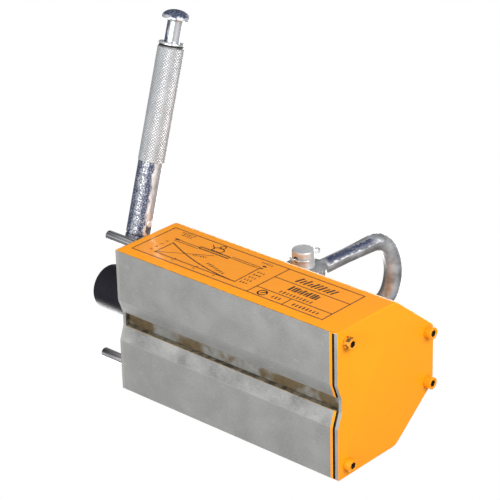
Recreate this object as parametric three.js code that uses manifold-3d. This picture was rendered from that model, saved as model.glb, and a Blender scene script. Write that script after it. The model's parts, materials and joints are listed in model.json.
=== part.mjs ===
// Permanent lifting magnet with a turning rotor, a hand lever and a lifting shackle.
// Millimetres, +Z up. The magnet stands on its pole faces. X runs along the rotor from the lever end (-X)
// to the plain end (+X), and the lever rests on the -Y side, which is the front.
// The origin is the centre of the front pole's contact face.
import * as THREE from 'three';
import { mergeVertices } from 'three/addons/utils/BufferGeometryUtils.js';
import Module from 'manifold-3d';

const wasm = await Module();
wasm.setup();

// ---- driving dimensions -----------------------------------------------------------------------------

// Body block
const bodyLength = 232;
const bodyWidth = 126;
const bodyHeight = 117;
const sideHeight = 70;             // height of the upright sides, below the sloping shoulders
const topWidth = 51;               // flat on top, between the shoulders
const coverThickness = 3;
const gap = 0.3;                   // clearance between pieces that touch

// Contact side
const vHalfWidth = 18.5;           // half the mouth of the shallow V between the poles
const vDepth = 4.6;
const slotHalfWidth = 5.8;         // half the distance between the poles at the slot
const stripRecess = 4;             // the strip lies this much above the slot's edge
const stripThickness = 3.6;
const reliefWidth = 2;             // narrow groove between the poles and the plain end cover
const reliefDepth = 1.6;

// Rotor and its bearings
const boreRadius = 26.5;
const stripToBore = 1.3;           // between the strip in the slot and the bore
const airGap = 0.5;
const rotorMagnetThickness = 18;
const rotorMagnetCount = 3;
const flangeThickness = 8;
const tieScrewRadius = 2.5;
const tieScrewLength = 20;
const tieScrewInset = 9;           // from the rotor's outside
const tieHeadRadius = 4.2;
const tieHeadHeight = 4;
const bearingThickness = 12;
const bearingWall = 4;             // between the shaft and the bearing block
const shaftRadius = 8;
const runningClearance = 0.3;

// Upper magnets and what closes the body above them
const channelWidth = 24;
const shieldThickness = 1.7;
const topBarHeight = 19.9;
const statorMagnetCount = 3;

// Lug and shackle
const lugX = -34;
const shackleLean = 21;            // degrees from upright towards the plain end, as it rests
const lugThickness = 20;
const lugRadius = 16.5;
const lugFootLength = 52;
const tenonLength = 40;
const tenonThickness = 14;
const tenonDepth = 16;
const dowelRadius = 4;
const shacklePinRadius = 9.5;
const pinClearance = 0.4;
const eyeRadius = 17.2;
const eyeThickness = 13;
const eyeGap = 1;                  // between an eye and the lug
const eyeToTop = 0.8;              // between an eye and the body's top
const shackleRodRadius = 7.2;
const bowHalfWidth = 29;           // centreline, where the arms meet the bow
const armLength = 64;              // pin axis to the end of the straight arms
const shackleReach = 86;           // pin axis to the crown's centreline
const pinFrontOverhang = 15.2;
const pinHeadRadius = 13;
const pinHeadThickness = 6;
const cotterRadius = 1.7;
const cotterFromEnd = 6.6;
const cotterLoopRadius = 4.2;
const lugShoulderAngle = 25;       // degrees above the pin where the lug's round top begins
const lugFootEdge = 5;
const dowelInset = 8;              // below the body's top
const armStartInset = 7;           // the round arm grows out of the eye's flat root, this far into it
const armOverHead = 2.5;           // and its centreline starts this far past the pin's head
const armRootLength = 3.5;         // from there to the end of the flat root
const bowShoulderPull = 20;        // how far the arch carries on in the arms' direction
const bowCrownPull = 7;            // and level from the crown

// Hub and lever
const hubRadius = 19;
const hubLength = 52;
const hubGap = 1;                  // between the hub and the cover
const hubEdge = 1.6;
const hubEndWall = 4;
const rollPinRadius = 3;
const rollPinFromHubFace = 11;
const leverFromCover = 29.7;       // the lever's plane, measured from the cover's outside
const leverAngle = 17.5;           // degrees above horizontal on the front side, at rest
const rodRadius = 10.6;
const socketNeckRadius = 7;
const socketSeat = 17.4;           // these four are measured from the rotor's axis
const socketTop = 51;
const gripBottom = 113;
const gripTop = 210;
const rodTenonLength = 16;
const gripRise = 0.6;              // the grip stands this much proud of the rod
const rodBoreRadius = 6;
const springChamberRadius = 7.7;
const springChamberLength = 40;
const rodEdge = 2.4;

// Safety button in the lever
const buttonTravel = 6;
const buttonNeckRadius = 6.5;
const buttonHeadRadius = 11.75;
const buttonStandOff = 21.3;       // from the grip's end to the head's underside
const buttonUndercut = 0.8;        // the head's underside rises this much to its rim
const buttonRim = 1.2;
const buttonDomeHeight = 6.8;
const neckFootLength = 7;
const bushHeight = 2.8;
const bushTenonLength = 12;
const pushRodRadius = 3.5;
const pushRodFootLength = 10;
const latchPinRadius = 3;
const latchAboveSocket = 11.5;
const latchPinProud = 0.4;         // how far each end of the latch pin stands out of the rod
const pushRodGrip = 15;            // how far the push rod goes up into the button's neck
const springWire = 0.7;
const springTurns = 5;

// Stop pins and cover screws
const stopPinRadius = 4;
const stopPinLength = 67;
const stopPinReach = 49;           // how far they stand out of the cover
const frontPinInset = 15;          // from the body's sides to the stop pins
const rearPinInset = 6.4;
const frontPinClear = 0.3;         // between a pin and the lever at that end of its travel
const rearPinClear = 0.5;
const leverTravel = 160;
const lowerScrewInset = 11;        // from the body's side and from its contact face
const upperScrewInset = 3.5;       // from the edge of the flat top
const upperScrewDrop = 8;
const screwRadius = 3;
const screwHeadRadius = 5;
const screwHeadHeight = 6;
const screwGrip = 17;
const screwHexRadius = 2.9;
const holeClearance = 0.3;

// Rating label on the front side
const labelDriveMargin = 6.7;
const labelPlainMargin = 21.8;
const labelBottom = 8.8;
const labelTopMargin = 6.9;
const labelThickness = 0.4;

// ---- derived places ---------------------------------------------------------------------------------

const endX = bodyLength / 2;
const coverInnerX = endX - coverThickness;
const poleEndX = coverInnerX - gap;
const poleFaceCentre = (vHalfWidth + bodyWidth / 2) / 2;
const stripBottom = vDepth + stripRecess;
const axisHeight = stripBottom + stripThickness + stripToBore + boreRadius;
const screwPlaces = {
  lower: [bodyWidth / 2 - lowerScrewInset, lowerScrewInset],
  upper: [topWidth / 2 - upperScrewInset, bodyHeight - upperScrewDrop],
};
const labelSpan = [labelDriveMargin - bodyLength / 2, bodyLength / 2 - labelPlainMargin];
const labelHeights = [labelBottom, sideHeight - labelTopMargin];
const channelHalf = channelWidth / 2;
const fillHalf = channelHalf - gap;
const shieldBottom = axisHeight + boreRadius + gap;
const statorBottom = shieldBottom + shieldThickness + gap;
const topBarBottom = bodyHeight - topBarHeight;
const statorMagnetHeight = topBarBottom - gap - statorBottom;
const rotorRadius = boreRadius - airGap;
const tieScrewPlace = rotorRadius - tieScrewInset;
const bearingBore = shaftRadius + bearingWall;
const bearingInnerX = poleEndX - bearingThickness;
const flangeOuterX = bearingInnerX - runningClearance;
const rotorEndX = flangeOuterX - flangeThickness - gap;
const hubInnerX = -endX - hubGap;
const shaftEndX = hubInnerX - hubLength + hubEndWall;
const rollPinX = hubInnerX - rollPinFromHubFace;
const stopPinInnerX = stopPinLength - stopPinReach - endX;
const stopPinPlaces = {
  front: stopPinPlace(-1, frontPinInset, leverAngle, frontPinClear),
  rear: stopPinPlace(1, rearPinInset, 180 - leverAngle - leverTravel, rearPinClear),
};
const leverX = -endX - leverFromCover;
const leverDrop = THREE.MathUtils.degToRad(180 - leverAngle);
const eyeInnerY = lugThickness / 2 + eyeGap;
const eyeOuterY = eyeInnerY + eyeThickness;
const armStartY = eyeInnerY + armStartInset;
const armStartHeight = pinHeadRadius + armOverHead;
const armRootHeight = armStartHeight + armRootLength;
const shacklePinHeight = bodyHeight + eyeToTop + eyeRadius;
const dowelHeight = bodyHeight - dowelInset;
const gripRadius = rodRadius + gripRise;
const latchPinReach = rodRadius + latchPinProud;
const springChamberBottom = gripTop - springChamberLength;
const cotterY = -eyeOuterY - pinFrontOverhang + cotterFromEnd;
const neckFootTop = gripTop - bushTenonLength;
const neckFootBottom = neckFootTop - neckFootLength;
const buttonBoreTop = neckFootBottom + pushRodGrip;
const buttonHeadUnderside = gripTop + buttonStandOff;
const buttonRimTop = buttonHeadUnderside + buttonUndercut + buttonRim;
const latchPinAt = socketTop + latchAboveSocket;
const rodBoreBottom = latchPinAt - pushRodFootLength / 2 - buttonTravel - gap;
const smooth = 32;                 // sides of a large round piece
const fine = 20;                   // sides of a small one

// Where a stop pin stands, [y, z], so that the lever ends its travel just above it. The angle is the
// lever's, above horizontal on the pin's side of the body.
function stopPinPlace(side, inset, angle, clear) {
  const outward = bodyWidth / 2 - inset;
  const rise = THREE.MathUtils.degToRad(angle);
  const below = rodRadius + stopPinRadius + clear - outward * Math.sin(rise);
  return [side * outward, axisHeight - below / Math.cos(rise)];
}

// ---- materials --------------------------------------------------------------------------------------

const finish = (color, roughness, metalness) => () =>
  new THREE.MeshStandardMaterial({ color, roughness, metalness });
const paint = finish(0xfdab3e, 0.35, 0.0);
const groundSteel = finish(0x9d9d9a, 0.45, 0.9);
const machinedSteel = finish(0xa9abad, 0.35, 0.95);
const galvanised = finish(0xc3c7cc, 0.4, 0.9);
const chrome = finish(0xd8dbe0, 0.12, 1.0);
const blackOxide = finish(0x1e1d22, 0.45, 0.6);
const brass = finish(0x5a4c33, 0.6, 0.4);
const bronze = finish(0xa9743a, 0.4, 0.9);
const magnetFinish = finish(0x8f9296, 0.3, 0.9);
const stainless = finish(0xb5b8ba, 0.3, 0.95);
const filmFinish = finish(0xffaa4b, 0.25, 0.0);

// ---- solids -----------------------------------------------------------------------------------------

function solidOf(geometry) {
  const plain = geometry.index ? geometry.toNonIndexed() : geometry.clone();
  plain.deleteAttribute('normal');
  plain.deleteAttribute('uv');
  const merged = mergeVertices(plain);
  return new wasm.Manifold(new wasm.Mesh({
    numProp: 3,
    vertProperties: new Float32Array(merged.attributes.position.array),
    triVerts: new Uint32Array(merged.index.array),
  }));
}

function geometryOf(solid) {
  const mesh = solid.getMesh();
  const geometry = new THREE.BufferGeometry();
  geometry.setAttribute('position', new THREE.BufferAttribute(new Float32Array(mesh.vertProperties), 3));
  geometry.setIndex(new THREE.BufferAttribute(new Uint32Array(mesh.triVerts), 1));
  geometry.computeVertexNormals();
  return geometry;
}

function cut(geometry, ...tools) {
  return geometryOf(tools.reduce((body, tool) => body.subtract(solidOf(tool)), solidOf(geometry)));
}

function join(geometry, ...others) {
  return geometryOf(others.reduce((body, other) => body.add(solidOf(other)), solidOf(geometry)));
}

function placed(geometry, xAxis, yAxis, zAxis, origin = [0, 0, 0]) {
  const basis = new THREE.Matrix4().makeBasis(
    new THREE.Vector3(...xAxis), new THREE.Vector3(...yAxis), new THREE.Vector3(...zAxis));
  return geometry.applyMatrix4(basis.setPosition(...origin));
}

const outline = (points) => new THREE.Shape(points.map(([a, b]) => new THREE.Vector2(a, b)));

const plainExtrusion = { bevelEnabled: false, curveSegments: 12 };

// A prism along X from an outline in Y and Z.
function prismX(shape, x0, x1) {
  const geometry = new THREE.ExtrudeGeometry(shape, { depth: x1 - x0, ...plainExtrusion });
  return placed(geometry, [0, 1, 0], [0, 0, 1], [1, 0, 0], [x0, 0, 0]);
}

// A prism along Y from an outline in X and Z.
function prismY(shape, y0, y1) {
  const geometry = new THREE.ExtrudeGeometry(shape, { depth: y1 - y0, ...plainExtrusion });
  return placed(geometry, [1, 0, 0], [0, 0, 1], [0, -1, 0], [0, y1, 0]);
}

function block(x0, x1, y0, y1, z0, z1) {
  const geometry = new THREE.BoxGeometry(x1 - x0, y1 - y0, z1 - z0);
  return geometry.translate((x0 + x1) / 2, (y0 + y1) / 2, (z0 + z1) / 2);
}

// A turned piece: the profile is [radius, distance along the axis], from the axis and back to it.
const turned = (profile, sides = smooth) =>
  new THREE.LatheGeometry(profile.map(([r, h]) => new THREE.Vector2(r, h)), sides);
const alongX = (geometry, y = 0, z = 0) => placed(geometry, [0, 1, 0], [1, 0, 0], [0, 0, -1], [0, y, z]);
const alongZ = (geometry, x = 0, y = 0) => placed(geometry, [1, 0, 0], [0, 0, 1], [0, -1, 0], [x, y, 0]);

// A plain round bar between two places on the lathe's own axis.
const bar = (radius, from, to, sides = fine) =>
  turned([[0, from], [radius, from], [radius, to], [0, to]], sides);

// A ring with an inner and an outer radius.
const ring = (inner, outer, from, to, sides = smooth) =>
  turned([[inner, from], [outer, from], [outer, to], [inner, to], [inner, from]], sides);

const magnet = new THREE.Group();
magnet.position.y = poleFaceCentre;      // everything in it is placed from the body's middle plane
const turning = new THREE.Group();       // turns with the rotor: its own +Y points along the lever
turning.position.z = axisHeight;
turning.rotation.x = leverDrop;
const lever = new THREE.Group();
lever.position.x = leverX;
turning.add(lever);
const shackle = new THREE.Group();       // its own +Z runs from the pin to the crown
shackle.position.set(lugX, 0, shacklePinHeight);
shackle.rotation.y = THREE.MathUtils.degToRad(shackleLean);
magnet.add(turning, shackle);

function add(group, name, geometry, material) {
  const mesh = new THREE.Mesh(geometry, material());
  mesh.name = name;
  group.add(mesh);
}

// ---- body -------------------------------------------------------------------------------------------

const boreCutter = () => alongX(bar(boreRadius, -endX, endX, 48), 0, axisHeight);

// Corners of the body's section where y is positive, from the slot round to the top.
const sectionCorners = [
  [slotHalfWidth, vDepth], [vHalfWidth, 0], [bodyWidth / 2, 0], [bodyWidth / 2, sideHeight],
  [topWidth / 2, bodyHeight],
];

const screwSpots = Object.entries(screwPlaces).flatMap(([level, [y, z]]) => [
  { name: `front_${level}`, y: -y, z }, { name: `rear_${level}`, y, z },
]);

function screwHoles(fromX, toX, spots = screwSpots) {
  return spots.map(({ y, z }) => alongX(bar(screwRadius + holeClearance, fromX, toX), y, z));
}

// What the groove beside the plain end cover takes off one pole: it follows the face and the shallow V.
function reliefCutter(side) {
  const edge = [
    [0, -1], [0, vDepth + reliefDepth], [slotHalfWidth, vDepth + reliefDepth], [vHalfWidth, reliefDepth],
    [bodyWidth, reliefDepth], [bodyWidth, -1],
  ].map(([y, z]) => [side * y, z]);
  return prismX(outline(edge), poleEndX - reliefWidth, endX);
}

// One pole: -1 is the front one, +1 the rear one.
function pole(side) {
  const corners = [
    [channelHalf, axisHeight], [slotHalfWidth, axisHeight], ...sectionCorners, [channelHalf, bodyHeight],
  ].map(([y, z]) => [side * y, z]);
  const spots = screwSpots.filter(({ y }) => y * side > 0);
  const pinPlace = side < 0 ? stopPinPlaces.front : stopPinPlaces.rear;
  return cut(
    prismX(outline(corners), -poleEndX, poleEndX),
    boreCutter(),
    reliefCutter(side),
    alongX(bar(stopPinRadius + holeClearance, -endX, stopPinInnerX + gap), ...pinPlace),
    ...screwHoles(-endX, screwGrip - poleEndX, spots),
    ...screwHoles(poleEndX - screwGrip, endX, spots));
}

function cover(x0, x1, ...openings) {
  const mirrored = sectionCorners.map(([y, z]) => [-y, z]).reverse();
  const plate = prismX(outline([...sectionCorners, ...mirrored]), x0, x1);
  return cut(plate, ...screwHoles(x0 - 1, x1 + 1), ...openings);
}

function driveCoverOpenings() {
  const shaftHole = alongX(bar(shaftRadius + 2 * holeClearance, -endX - 1, 0, smooth), 0, axisHeight);
  const pinHoles = Object.values(stopPinPlaces).map(
    (place) => alongX(bar(stopPinRadius + holeClearance, -endX - 1, 0), ...place));
  return [shaftHole, ...pinHoles];
}

// A socket head screw with its seat at x = 0 and its head towards +X.
function coverScrew() {
  const tip = gap - coverThickness - gap - screwGrip;
  const shape = turned([
    [0, tip], [screwRadius - 0.5, tip], [screwRadius, tip + 0.5], [screwRadius, gap], [screwHeadRadius, gap],
    [screwHeadRadius, screwHeadHeight - 0.4], [screwHeadRadius - 0.4, screwHeadHeight], [0, screwHeadHeight],
  ], fine);
  const hexagon = turned([
    [0, screwHeadHeight / 2], [screwHexRadius, screwHeadHeight / 2],
    [screwHexRadius, screwHeadHeight + 1], [0, screwHeadHeight + 1],
  ], 6);
  return cut(alongX(shape), alongX(hexagon));
}

function stopPin() {
  const edge = 0.6;
  return alongX(turned([
    [0, -stopPinReach], [stopPinRadius - edge, -stopPinReach], [stopPinRadius, edge - stopPinReach],
    [stopPinRadius, stopPinLength - stopPinReach], [0, stopPinLength - stopPinReach],
  ], fine));
}

function addBody() {
  add(magnet, 'pole_front', pole(-1), groundSteel);
  add(magnet, 'pole_rear', pole(1), groundSteel);
  const strip = block(-poleEndX, poleEndX, gap - slotHalfWidth, slotHalfWidth - gap,
    stripBottom, stripBottom + stripThickness);
  add(magnet, 'slot_strip', strip, brass);
  add(magnet, 'drive_end_cover', cover(-endX, -coverInnerX, ...driveCoverOpenings()), paint);
  add(magnet, 'plain_end_cover', cover(coverInnerX, endX), paint);
  for (const [end, sign] of [['drive', -1], ['plain', 1]]) {
    for (const { name, y, z } of screwSpots) {
      add(magnet, `${end}_screw_${name}`, coverScrew(), paint);
      const screw = magnet.children.at(-1);
      screw.position.set(sign * endX, y, z);
      screw.rotation.z = sign < 0 ? Math.PI : 0;
    }
  }
  for (const [name, [y, z]] of Object.entries(stopPinPlaces)) {
    add(magnet, `stop_pin_${name}`, stopPin(), machinedSteel);
    magnet.children.at(-1).position.set(-endX, y, z);
  }
  add(magnet, 'rating_label', block(
    ...labelSpan, -bodyWidth / 2 - gap - labelThickness, -bodyWidth / 2 - gap, ...labelHeights), filmFinish);
}

// ---- upper magnets and their closing bar ------------------------------------------------------------

// Equal blocks laid end to end along X, with the usual gap between them.
function addRow(group, name, count, x0, x1, y0, y1, z0, z1) {
  const pitch = (x1 - x0 + gap) / count;
  for (let i = 0; i < count; i += 1) {
    const start = x0 + i * pitch;
    add(group, `${name}_${i + 1}`, block(start, start + pitch - gap, y0, y1, z0, z1), magnetFinish);
  }
}

function addUpperMagnets() {
  add(magnet, 'rotor_shield',
    block(-poleEndX, poleEndX, -fillHalf, fillHalf, shieldBottom, shieldBottom + shieldThickness), stainless);
  addRow(magnet, 'stator_magnet', statorMagnetCount, -bearingInnerX, bearingInnerX,
    -fillHalf, fillHalf, statorBottom, statorBottom + statorMagnetHeight);
  const pocketHalf = tenonLength / 2 + gap;
  const topBar = block(-poleEndX, poleEndX, -fillHalf, fillHalf, topBarBottom, bodyHeight);
  const pocket = block(lugX - pocketHalf, lugX + pocketHalf,
    -tenonThickness / 2 - gap, tenonThickness / 2 + gap, bodyHeight - tenonDepth - gap, bodyHeight + 1);
  add(magnet, 'top_bar', cut(topBar, pocket, dowelHole()), groundSteel);
}

// ---- lug, shackle and pin ---------------------------------------------------------------------------

const alongY = (geometry, x, z) => geometry.translate(x, 0, z);

function dowelHole() {
  return alongY(bar(dowelRadius + holeClearance, -bodyWidth / 2, bodyWidth / 2), lugX, dowelHeight);
}

function lug() {
  const half = lugFootLength / 2;
  const foot = bodyHeight + gap - shacklePinHeight;
  const shoulder = THREE.MathUtils.degToRad(lugShoulderAngle);
  const side = new THREE.Shape();
  side.moveTo(-half, foot);
  side.lineTo(half, foot);
  side.lineTo(half, foot + lugFootEdge);
  side.absarc(0, 0, lugRadius, shoulder, Math.PI - shoulder, false);
  side.lineTo(-half, foot + lugFootEdge);
  const plate = alongY(prismY(side, -lugThickness / 2, lugThickness / 2), lugX, shacklePinHeight);
  const tenon = block(lugX - tenonLength / 2, lugX + tenonLength / 2, -tenonThickness / 2, tenonThickness / 2,
    bodyHeight - tenonDepth, bodyHeight + 1);
  const pinHole = alongY(
    bar(shacklePinRadius + pinClearance, -lugThickness, lugThickness, smooth), lugX, shacklePinHeight);
  return cut(join(plate, tenon), pinHole, dowelHole());
}

// Centreline of the forged bow in its own plane: straight arms that spread, then a square-shouldered arch.
function bowPath() {
  const start = new THREE.Vector3(0, armStartY, armStartHeight);
  const shoulder = new THREE.Vector3(0, bowHalfWidth, armLength);
  const crown = new THREE.Vector3(0, 0, shackleReach);
  const along = shoulder.clone().sub(start).normalize();
  const first = shoulder.clone().addScaledVector(along, bowShoulderPull);
  const second = new THREE.Vector3(0, bowCrownPull, shackleReach);
  const mirror = (v) => new THREE.Vector3(v.x, -v.y, v.z);
  const path = new THREE.CurvePath();
  path.add(new THREE.LineCurve3(start, shoulder));
  path.add(new THREE.CubicBezierCurve3(shoulder, first, second, crown));
  path.add(new THREE.CubicBezierCurve3(crown, mirror(second), mirror(first), mirror(shoulder)));
  path.add(new THREE.LineCurve3(mirror(shoulder), mirror(start)));
  return path;
}

function roundSection(radius, sides) {
  const points = Array.from({ length: sides }, (_, i) => {
    const angle = (2 * Math.PI * i) / sides;
    return [radius * Math.cos(angle), radius * Math.sin(angle)];
  });
  return outline(points);
}

const tube = (path, radius, steps, sides) =>
  new THREE.ExtrudeGeometry(roundSection(radius, sides), { steps, extrudePath: path, bevelEnabled: false });

function shackleBow() {
  const sides = [[-eyeOuterY, -eyeInnerY], [eyeInnerY, eyeOuterY]];
  const eyes = sides.map(([y0, y1]) => bar(eyeRadius, y0, y1, 40));
  const rootHalf = shackleRodRadius - 1;
  const roots = sides.map(([y0, y1]) => block(-rootHalf, rootHalf, y0, y1, 0, armRootHeight));
  const hole = bar(shacklePinRadius + pinClearance, -2 * eyeOuterY, 2 * eyeOuterY, smooth);
  return cut(join(tube(bowPath(), shackleRodRadius, 56, 14), ...eyes, ...roots), hole);
}

function shacklePin() {
  const front = -eyeOuterY - pinFrontOverhang;
  const seat = eyeOuterY + gap;
  const edge = 1;
  const shape = turned([
    [0, front], [shacklePinRadius - edge, front], [shacklePinRadius, front + edge], [shacklePinRadius, seat],
    [pinHeadRadius, seat], [pinHeadRadius, seat + pinHeadThickness - edge],
    [pinHeadRadius - edge, seat + pinHeadThickness], [0, seat + pinHeadThickness],
  ]);
  const through = 2 * shacklePinRadius;
  const hole = alongZ(bar(cotterRadius + pinClearance, -through, through), 0, cotterY);
  return cut(shape, hole);
}

// A split pin bent from one wire: a loop above, two legs through the hole, each curled round the pin.
function cotterPin() {
  const wire = cotterRadius / 2;
  const leg = wire + 0.05;
  const curl = shacklePinRadius + wire + 1;
  const straight = shacklePinRadius + 0.4;
  const points = [];
  const around = (fromDegrees, toDegrees, steps, radius, height) => {
    for (let i = 0; i <= steps; i += 1) {
      const angle = THREE.MathUtils.degToRad(fromDegrees + ((toDegrees - fromDegrees) * i) / steps);
      points.push(new THREE.Vector3(radius * Math.cos(angle), 0, height + radius * Math.sin(angle)));
    }
  };
  around(215, 255, 3, curl, 0);
  for (const height of [-straight, 0, straight]) points.push(new THREE.Vector3(-leg, 0, height));
  around(230, -50, 10, cotterLoopRadius, straight + cotterLoopRadius + 0.6);
  for (const height of [straight, 0, -straight]) points.push(new THREE.Vector3(leg, 0, height));
  around(-75, -25, 3, curl, 0);
  return tube(new THREE.CatmullRomCurve3(points, false, 'centripetal'), wire, 80, 8);
}

function addShackle() {
  add(magnet, 'lifting_lug', lug(), groundSteel);
  const dowelHalf = channelHalf - 2 * gap;
  add(magnet, 'lug_dowel', alongY(bar(dowelRadius, -dowelHalf, dowelHalf), lugX, dowelHeight), machinedSteel);
  add(shackle, 'shackle', shackleBow(), galvanised);
  const pinGroup = new THREE.Group();     // the pin has turned in the eyes so that its cotter stands upright
  pinGroup.rotation.y = -shackle.rotation.y;
  shackle.add(pinGroup);
  add(pinGroup, 'shackle_pin', shacklePin(), galvanised);
  add(pinGroup, 'cotter_pin', cotterPin().translate(0, cotterY, 0), galvanised);
}

// ---- rotor ------------------------------------------------------------------------------------------

// In the turning group, +Y points along the lever and the rotor's magnets press their poles that way.
function rotorSegment(side) {
  const angle = Math.acos((rotorMagnetThickness / 2 + gap) / rotorRadius);
  const shape = new THREE.Shape();
  const middle = side > 0 ? 0 : Math.PI;
  shape.absarc(0, 0, rotorRadius, middle - angle, middle + angle, false);
  const depth = tieScrewLength - flangeThickness;
  const tapped = [-1, 1].map((end) => alongX(
    bar(tieScrewRadius + holeClearance, Math.min(end * (rotorEndX - depth), end * (rotorEndX + 1)),
      Math.max(end * (rotorEndX - depth), end * (rotorEndX + 1)), 16), side * tieScrewPlace));
  return cut(prismX(shape, -rotorEndX, rotorEndX), ...tapped);
}

// A disc with a stub shaft, seen with the shaft towards +X and its inner face at rotorEndX + gap.
function flange(shaftEnd) {
  const body = alongX(turned([
    [0, rotorEndX + gap], [rotorRadius - gap, rotorEndX + gap], [rotorRadius - gap, flangeOuterX],
    [shaftRadius, flangeOuterX], [shaftRadius, shaftEnd], [0, shaftEnd],
  ]));
  const holes = [-1, 1].flatMap((side) => [
    alongX(bar(tieScrewRadius + holeClearance, rotorEndX, flangeOuterX + 1, 16), side * tieScrewPlace),
    alongX(bar(tieHeadRadius + holeClearance, flangeOuterX - tieHeadHeight - gap, flangeOuterX + 1, 16),
      side * tieScrewPlace),
  ]);
  return cut(body, ...holes);
}

// A tie screw that lies in the flange's counterbore, head towards +X.
function tieScrew() {
  const top = flangeOuterX - gap;
  const tip = rotorEndX - tieScrewLength + flangeThickness + gap;
  const shape = turned([
    [0, tip], [tieScrewRadius, tip], [tieScrewRadius, top - tieHeadHeight],
    [tieHeadRadius, top - tieHeadHeight], [tieHeadRadius, top], [0, top],
  ], 16);
  const hexagon = bar(tieScrewRadius, top - tieHeadHeight / 2, top + 1, 6);
  return cut(alongX(shape), alongX(hexagon));
}

function addRotor() {
  add(turning, 'rotor_segment_near', rotorSegment(1), machinedSteel);
  add(turning, 'rotor_segment_far', rotorSegment(-1), machinedSteel);
  const half = rotorMagnetThickness / 2;
  const reach = Math.sqrt(rotorRadius ** 2 - half ** 2) - 1;
  addRow(turning, 'rotor_magnet', rotorMagnetCount, -rotorEndX, rotorEndX, -half, half, -reach, reach);
  add(turning, 'plain_end_flange', flange(poleEndX - gap), machinedSteel);
  const driveFlange = flange(-shaftEndX).rotateZ(Math.PI);
  const pinHole = alongZ(bar(rollPinRadius + holeClearance, -hubRadius, hubRadius), rollPinX, 0);
  add(turning, 'drive_shaft', cut(driveFlange, pinHole), machinedSteel);
  for (const [end, turn] of [['plain', 0], ['drive', Math.PI]]) {
    for (const [name, side] of [['near', 1], ['far', -1]]) {
      add(turning, `${end}_tie_screw_${name}`, tieScrew(), blackOxide);
      const screw = turning.children.at(-1);
      screw.rotation.z = turn;
      screw.position.y = side * tieScrewPlace;
    }
  }
  for (const [end, sign] of [['drive', -1], ['plain', 1]]) {
    const [inner, outer] = sign < 0 ? [-poleEndX, -bearingInnerX] : [bearingInnerX, poleEndX];
    add(magnet, `${end}_bearing_block`,
      alongX(ring(bearingBore + gap, boreRadius - gap, inner, outer), 0, axisHeight), machinedSteel);
    add(magnet, `${end}_bushing`,
      alongX(ring(shaftRadius + runningClearance, bearingBore, inner, outer), 0, axisHeight), bronze);
  }
}

// ---- hub and lever ----------------------------------------------------------------------------------

function hub() {
  const outer = hubInnerX - hubLength;
  const body = alongX(turned([
    [0, outer], [hubRadius - hubEdge, outer], [hubRadius, outer + hubEdge], [hubRadius, hubInnerX - hubEdge],
    [hubRadius - hubEdge, hubInnerX], [0, hubInnerX],
  ], 48));
  const shaftHole = alongX(bar(shaftRadius + gap, shaftEndX - gap, hubInnerX + 1, smooth));
  const neckHole = bar(socketNeckRadius + gap, 0, hubRadius + 1).translate(leverX, 0, 0);
  const spotFace = bar(rodRadius + gap, socketSeat - gap, hubRadius + 1, smooth).translate(leverX, 0, 0);
  const pinHole = alongZ(bar(rollPinRadius + gap, -hubRadius - 1, hubRadius + 1), rollPinX, 0);
  return cut(body, shaftHole, neckHole, spotFace, pinHole);
}

function socket() {
  return turned([
    [0, shaftRadius + 1], [socketNeckRadius, shaftRadius + 1], [socketNeckRadius, socketSeat],
    [rodRadius, socketSeat], [rodRadius, socketTop - 1], [rodRadius - 1, socketTop],
    [socketNeckRadius + gap, socketTop], [socketNeckRadius + gap, socketTop - rodTenonLength - gap],
    [0, socketTop - rodTenonLength - gap],
  ]);
}

function rod() {
  const seat = socketTop + gap;
  const bottom = seat - rodTenonLength;
  const step = gripRadius - rodRadius;
  const tubeBody = turned([
    [0, bottom], [socketNeckRadius, bottom], [socketNeckRadius, seat], [rodRadius - rodEdge, seat],
    [rodRadius, seat + rodEdge], [rodRadius, gripBottom - step], [gripRadius, gripBottom],
    [gripRadius, gripTop - 1], [gripRadius - 1, gripTop], [springChamberRadius, gripTop],
    [springChamberRadius, springChamberBottom], [rodBoreRadius, springChamberBottom],
    [rodBoreRadius, rodBoreBottom], [0, rodBoreBottom],
  ]);
  return cut(tubeBody, latchSlot());
}

// The slot that the latch pin travels in, right through the rod.
function latchSlot() {
  const half = latchPinRadius + gap;
  const slot = new THREE.Shape();
  slot.absarc(latchPinAt, 0, half, -Math.PI / 2, Math.PI / 2, false);
  slot.absarc(latchPinAt - buttonTravel, 0, half, Math.PI / 2, (3 * Math.PI) / 2, false);
  return prismX(slot, -2 * rodRadius, 2 * rodRadius);
}

function endBush() {
  const inner = buttonNeckRadius + gap;
  const seat = gripTop + gap;
  const edge = 0.8;
  const flange = gripRadius - edge / 2;
  return turned([
    [inner, seat - bushTenonLength], [springChamberRadius - gap, seat - bushTenonLength],
    [springChamberRadius - gap, seat], [flange, seat], [flange, seat + bushHeight - edge],
    [flange - edge, seat + bushHeight], [inner, seat + bushHeight], [inner, seat - bushTenonLength],
  ]);
}

// Domed head, neck and the foot that the end bush holds in.
function button() {
  const dome = Array.from({ length: 9 }, (_, i) => {
    const angle = (Math.PI / 2) * (i / 8);
    return [buttonHeadRadius * Math.cos(angle), buttonRimTop + buttonDomeHeight * Math.sin(angle)];
  });
  dome[8][0] = 0;
  return turned([
    [0, buttonBoreTop], [pushRodRadius + gap, buttonBoreTop], [pushRodRadius + gap, neckFootBottom],
    [springChamberRadius - gap, neckFootBottom], [springChamberRadius - gap, neckFootTop],
    [buttonNeckRadius, neckFootTop], [buttonNeckRadius, buttonHeadUnderside],
    [buttonHeadRadius - 0.6, buttonHeadUnderside + buttonUndercut], ...dome,
  ]);
}

function pushRod() {
  const bottom = latchPinAt - pushRodFootLength / 2;
  const foot = turned([
    [0, bottom], [rodBoreRadius - gap, bottom], [rodBoreRadius - gap, bottom + pushRodFootLength],
    [pushRodRadius, bottom + pushRodFootLength], [pushRodRadius, buttonBoreTop - gap],
    [0, buttonBoreTop - gap],
  ], 24);
  return cut(foot, alongX(bar(latchPinRadius + gap, -rodRadius, rodRadius), latchPinAt));
}

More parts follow.
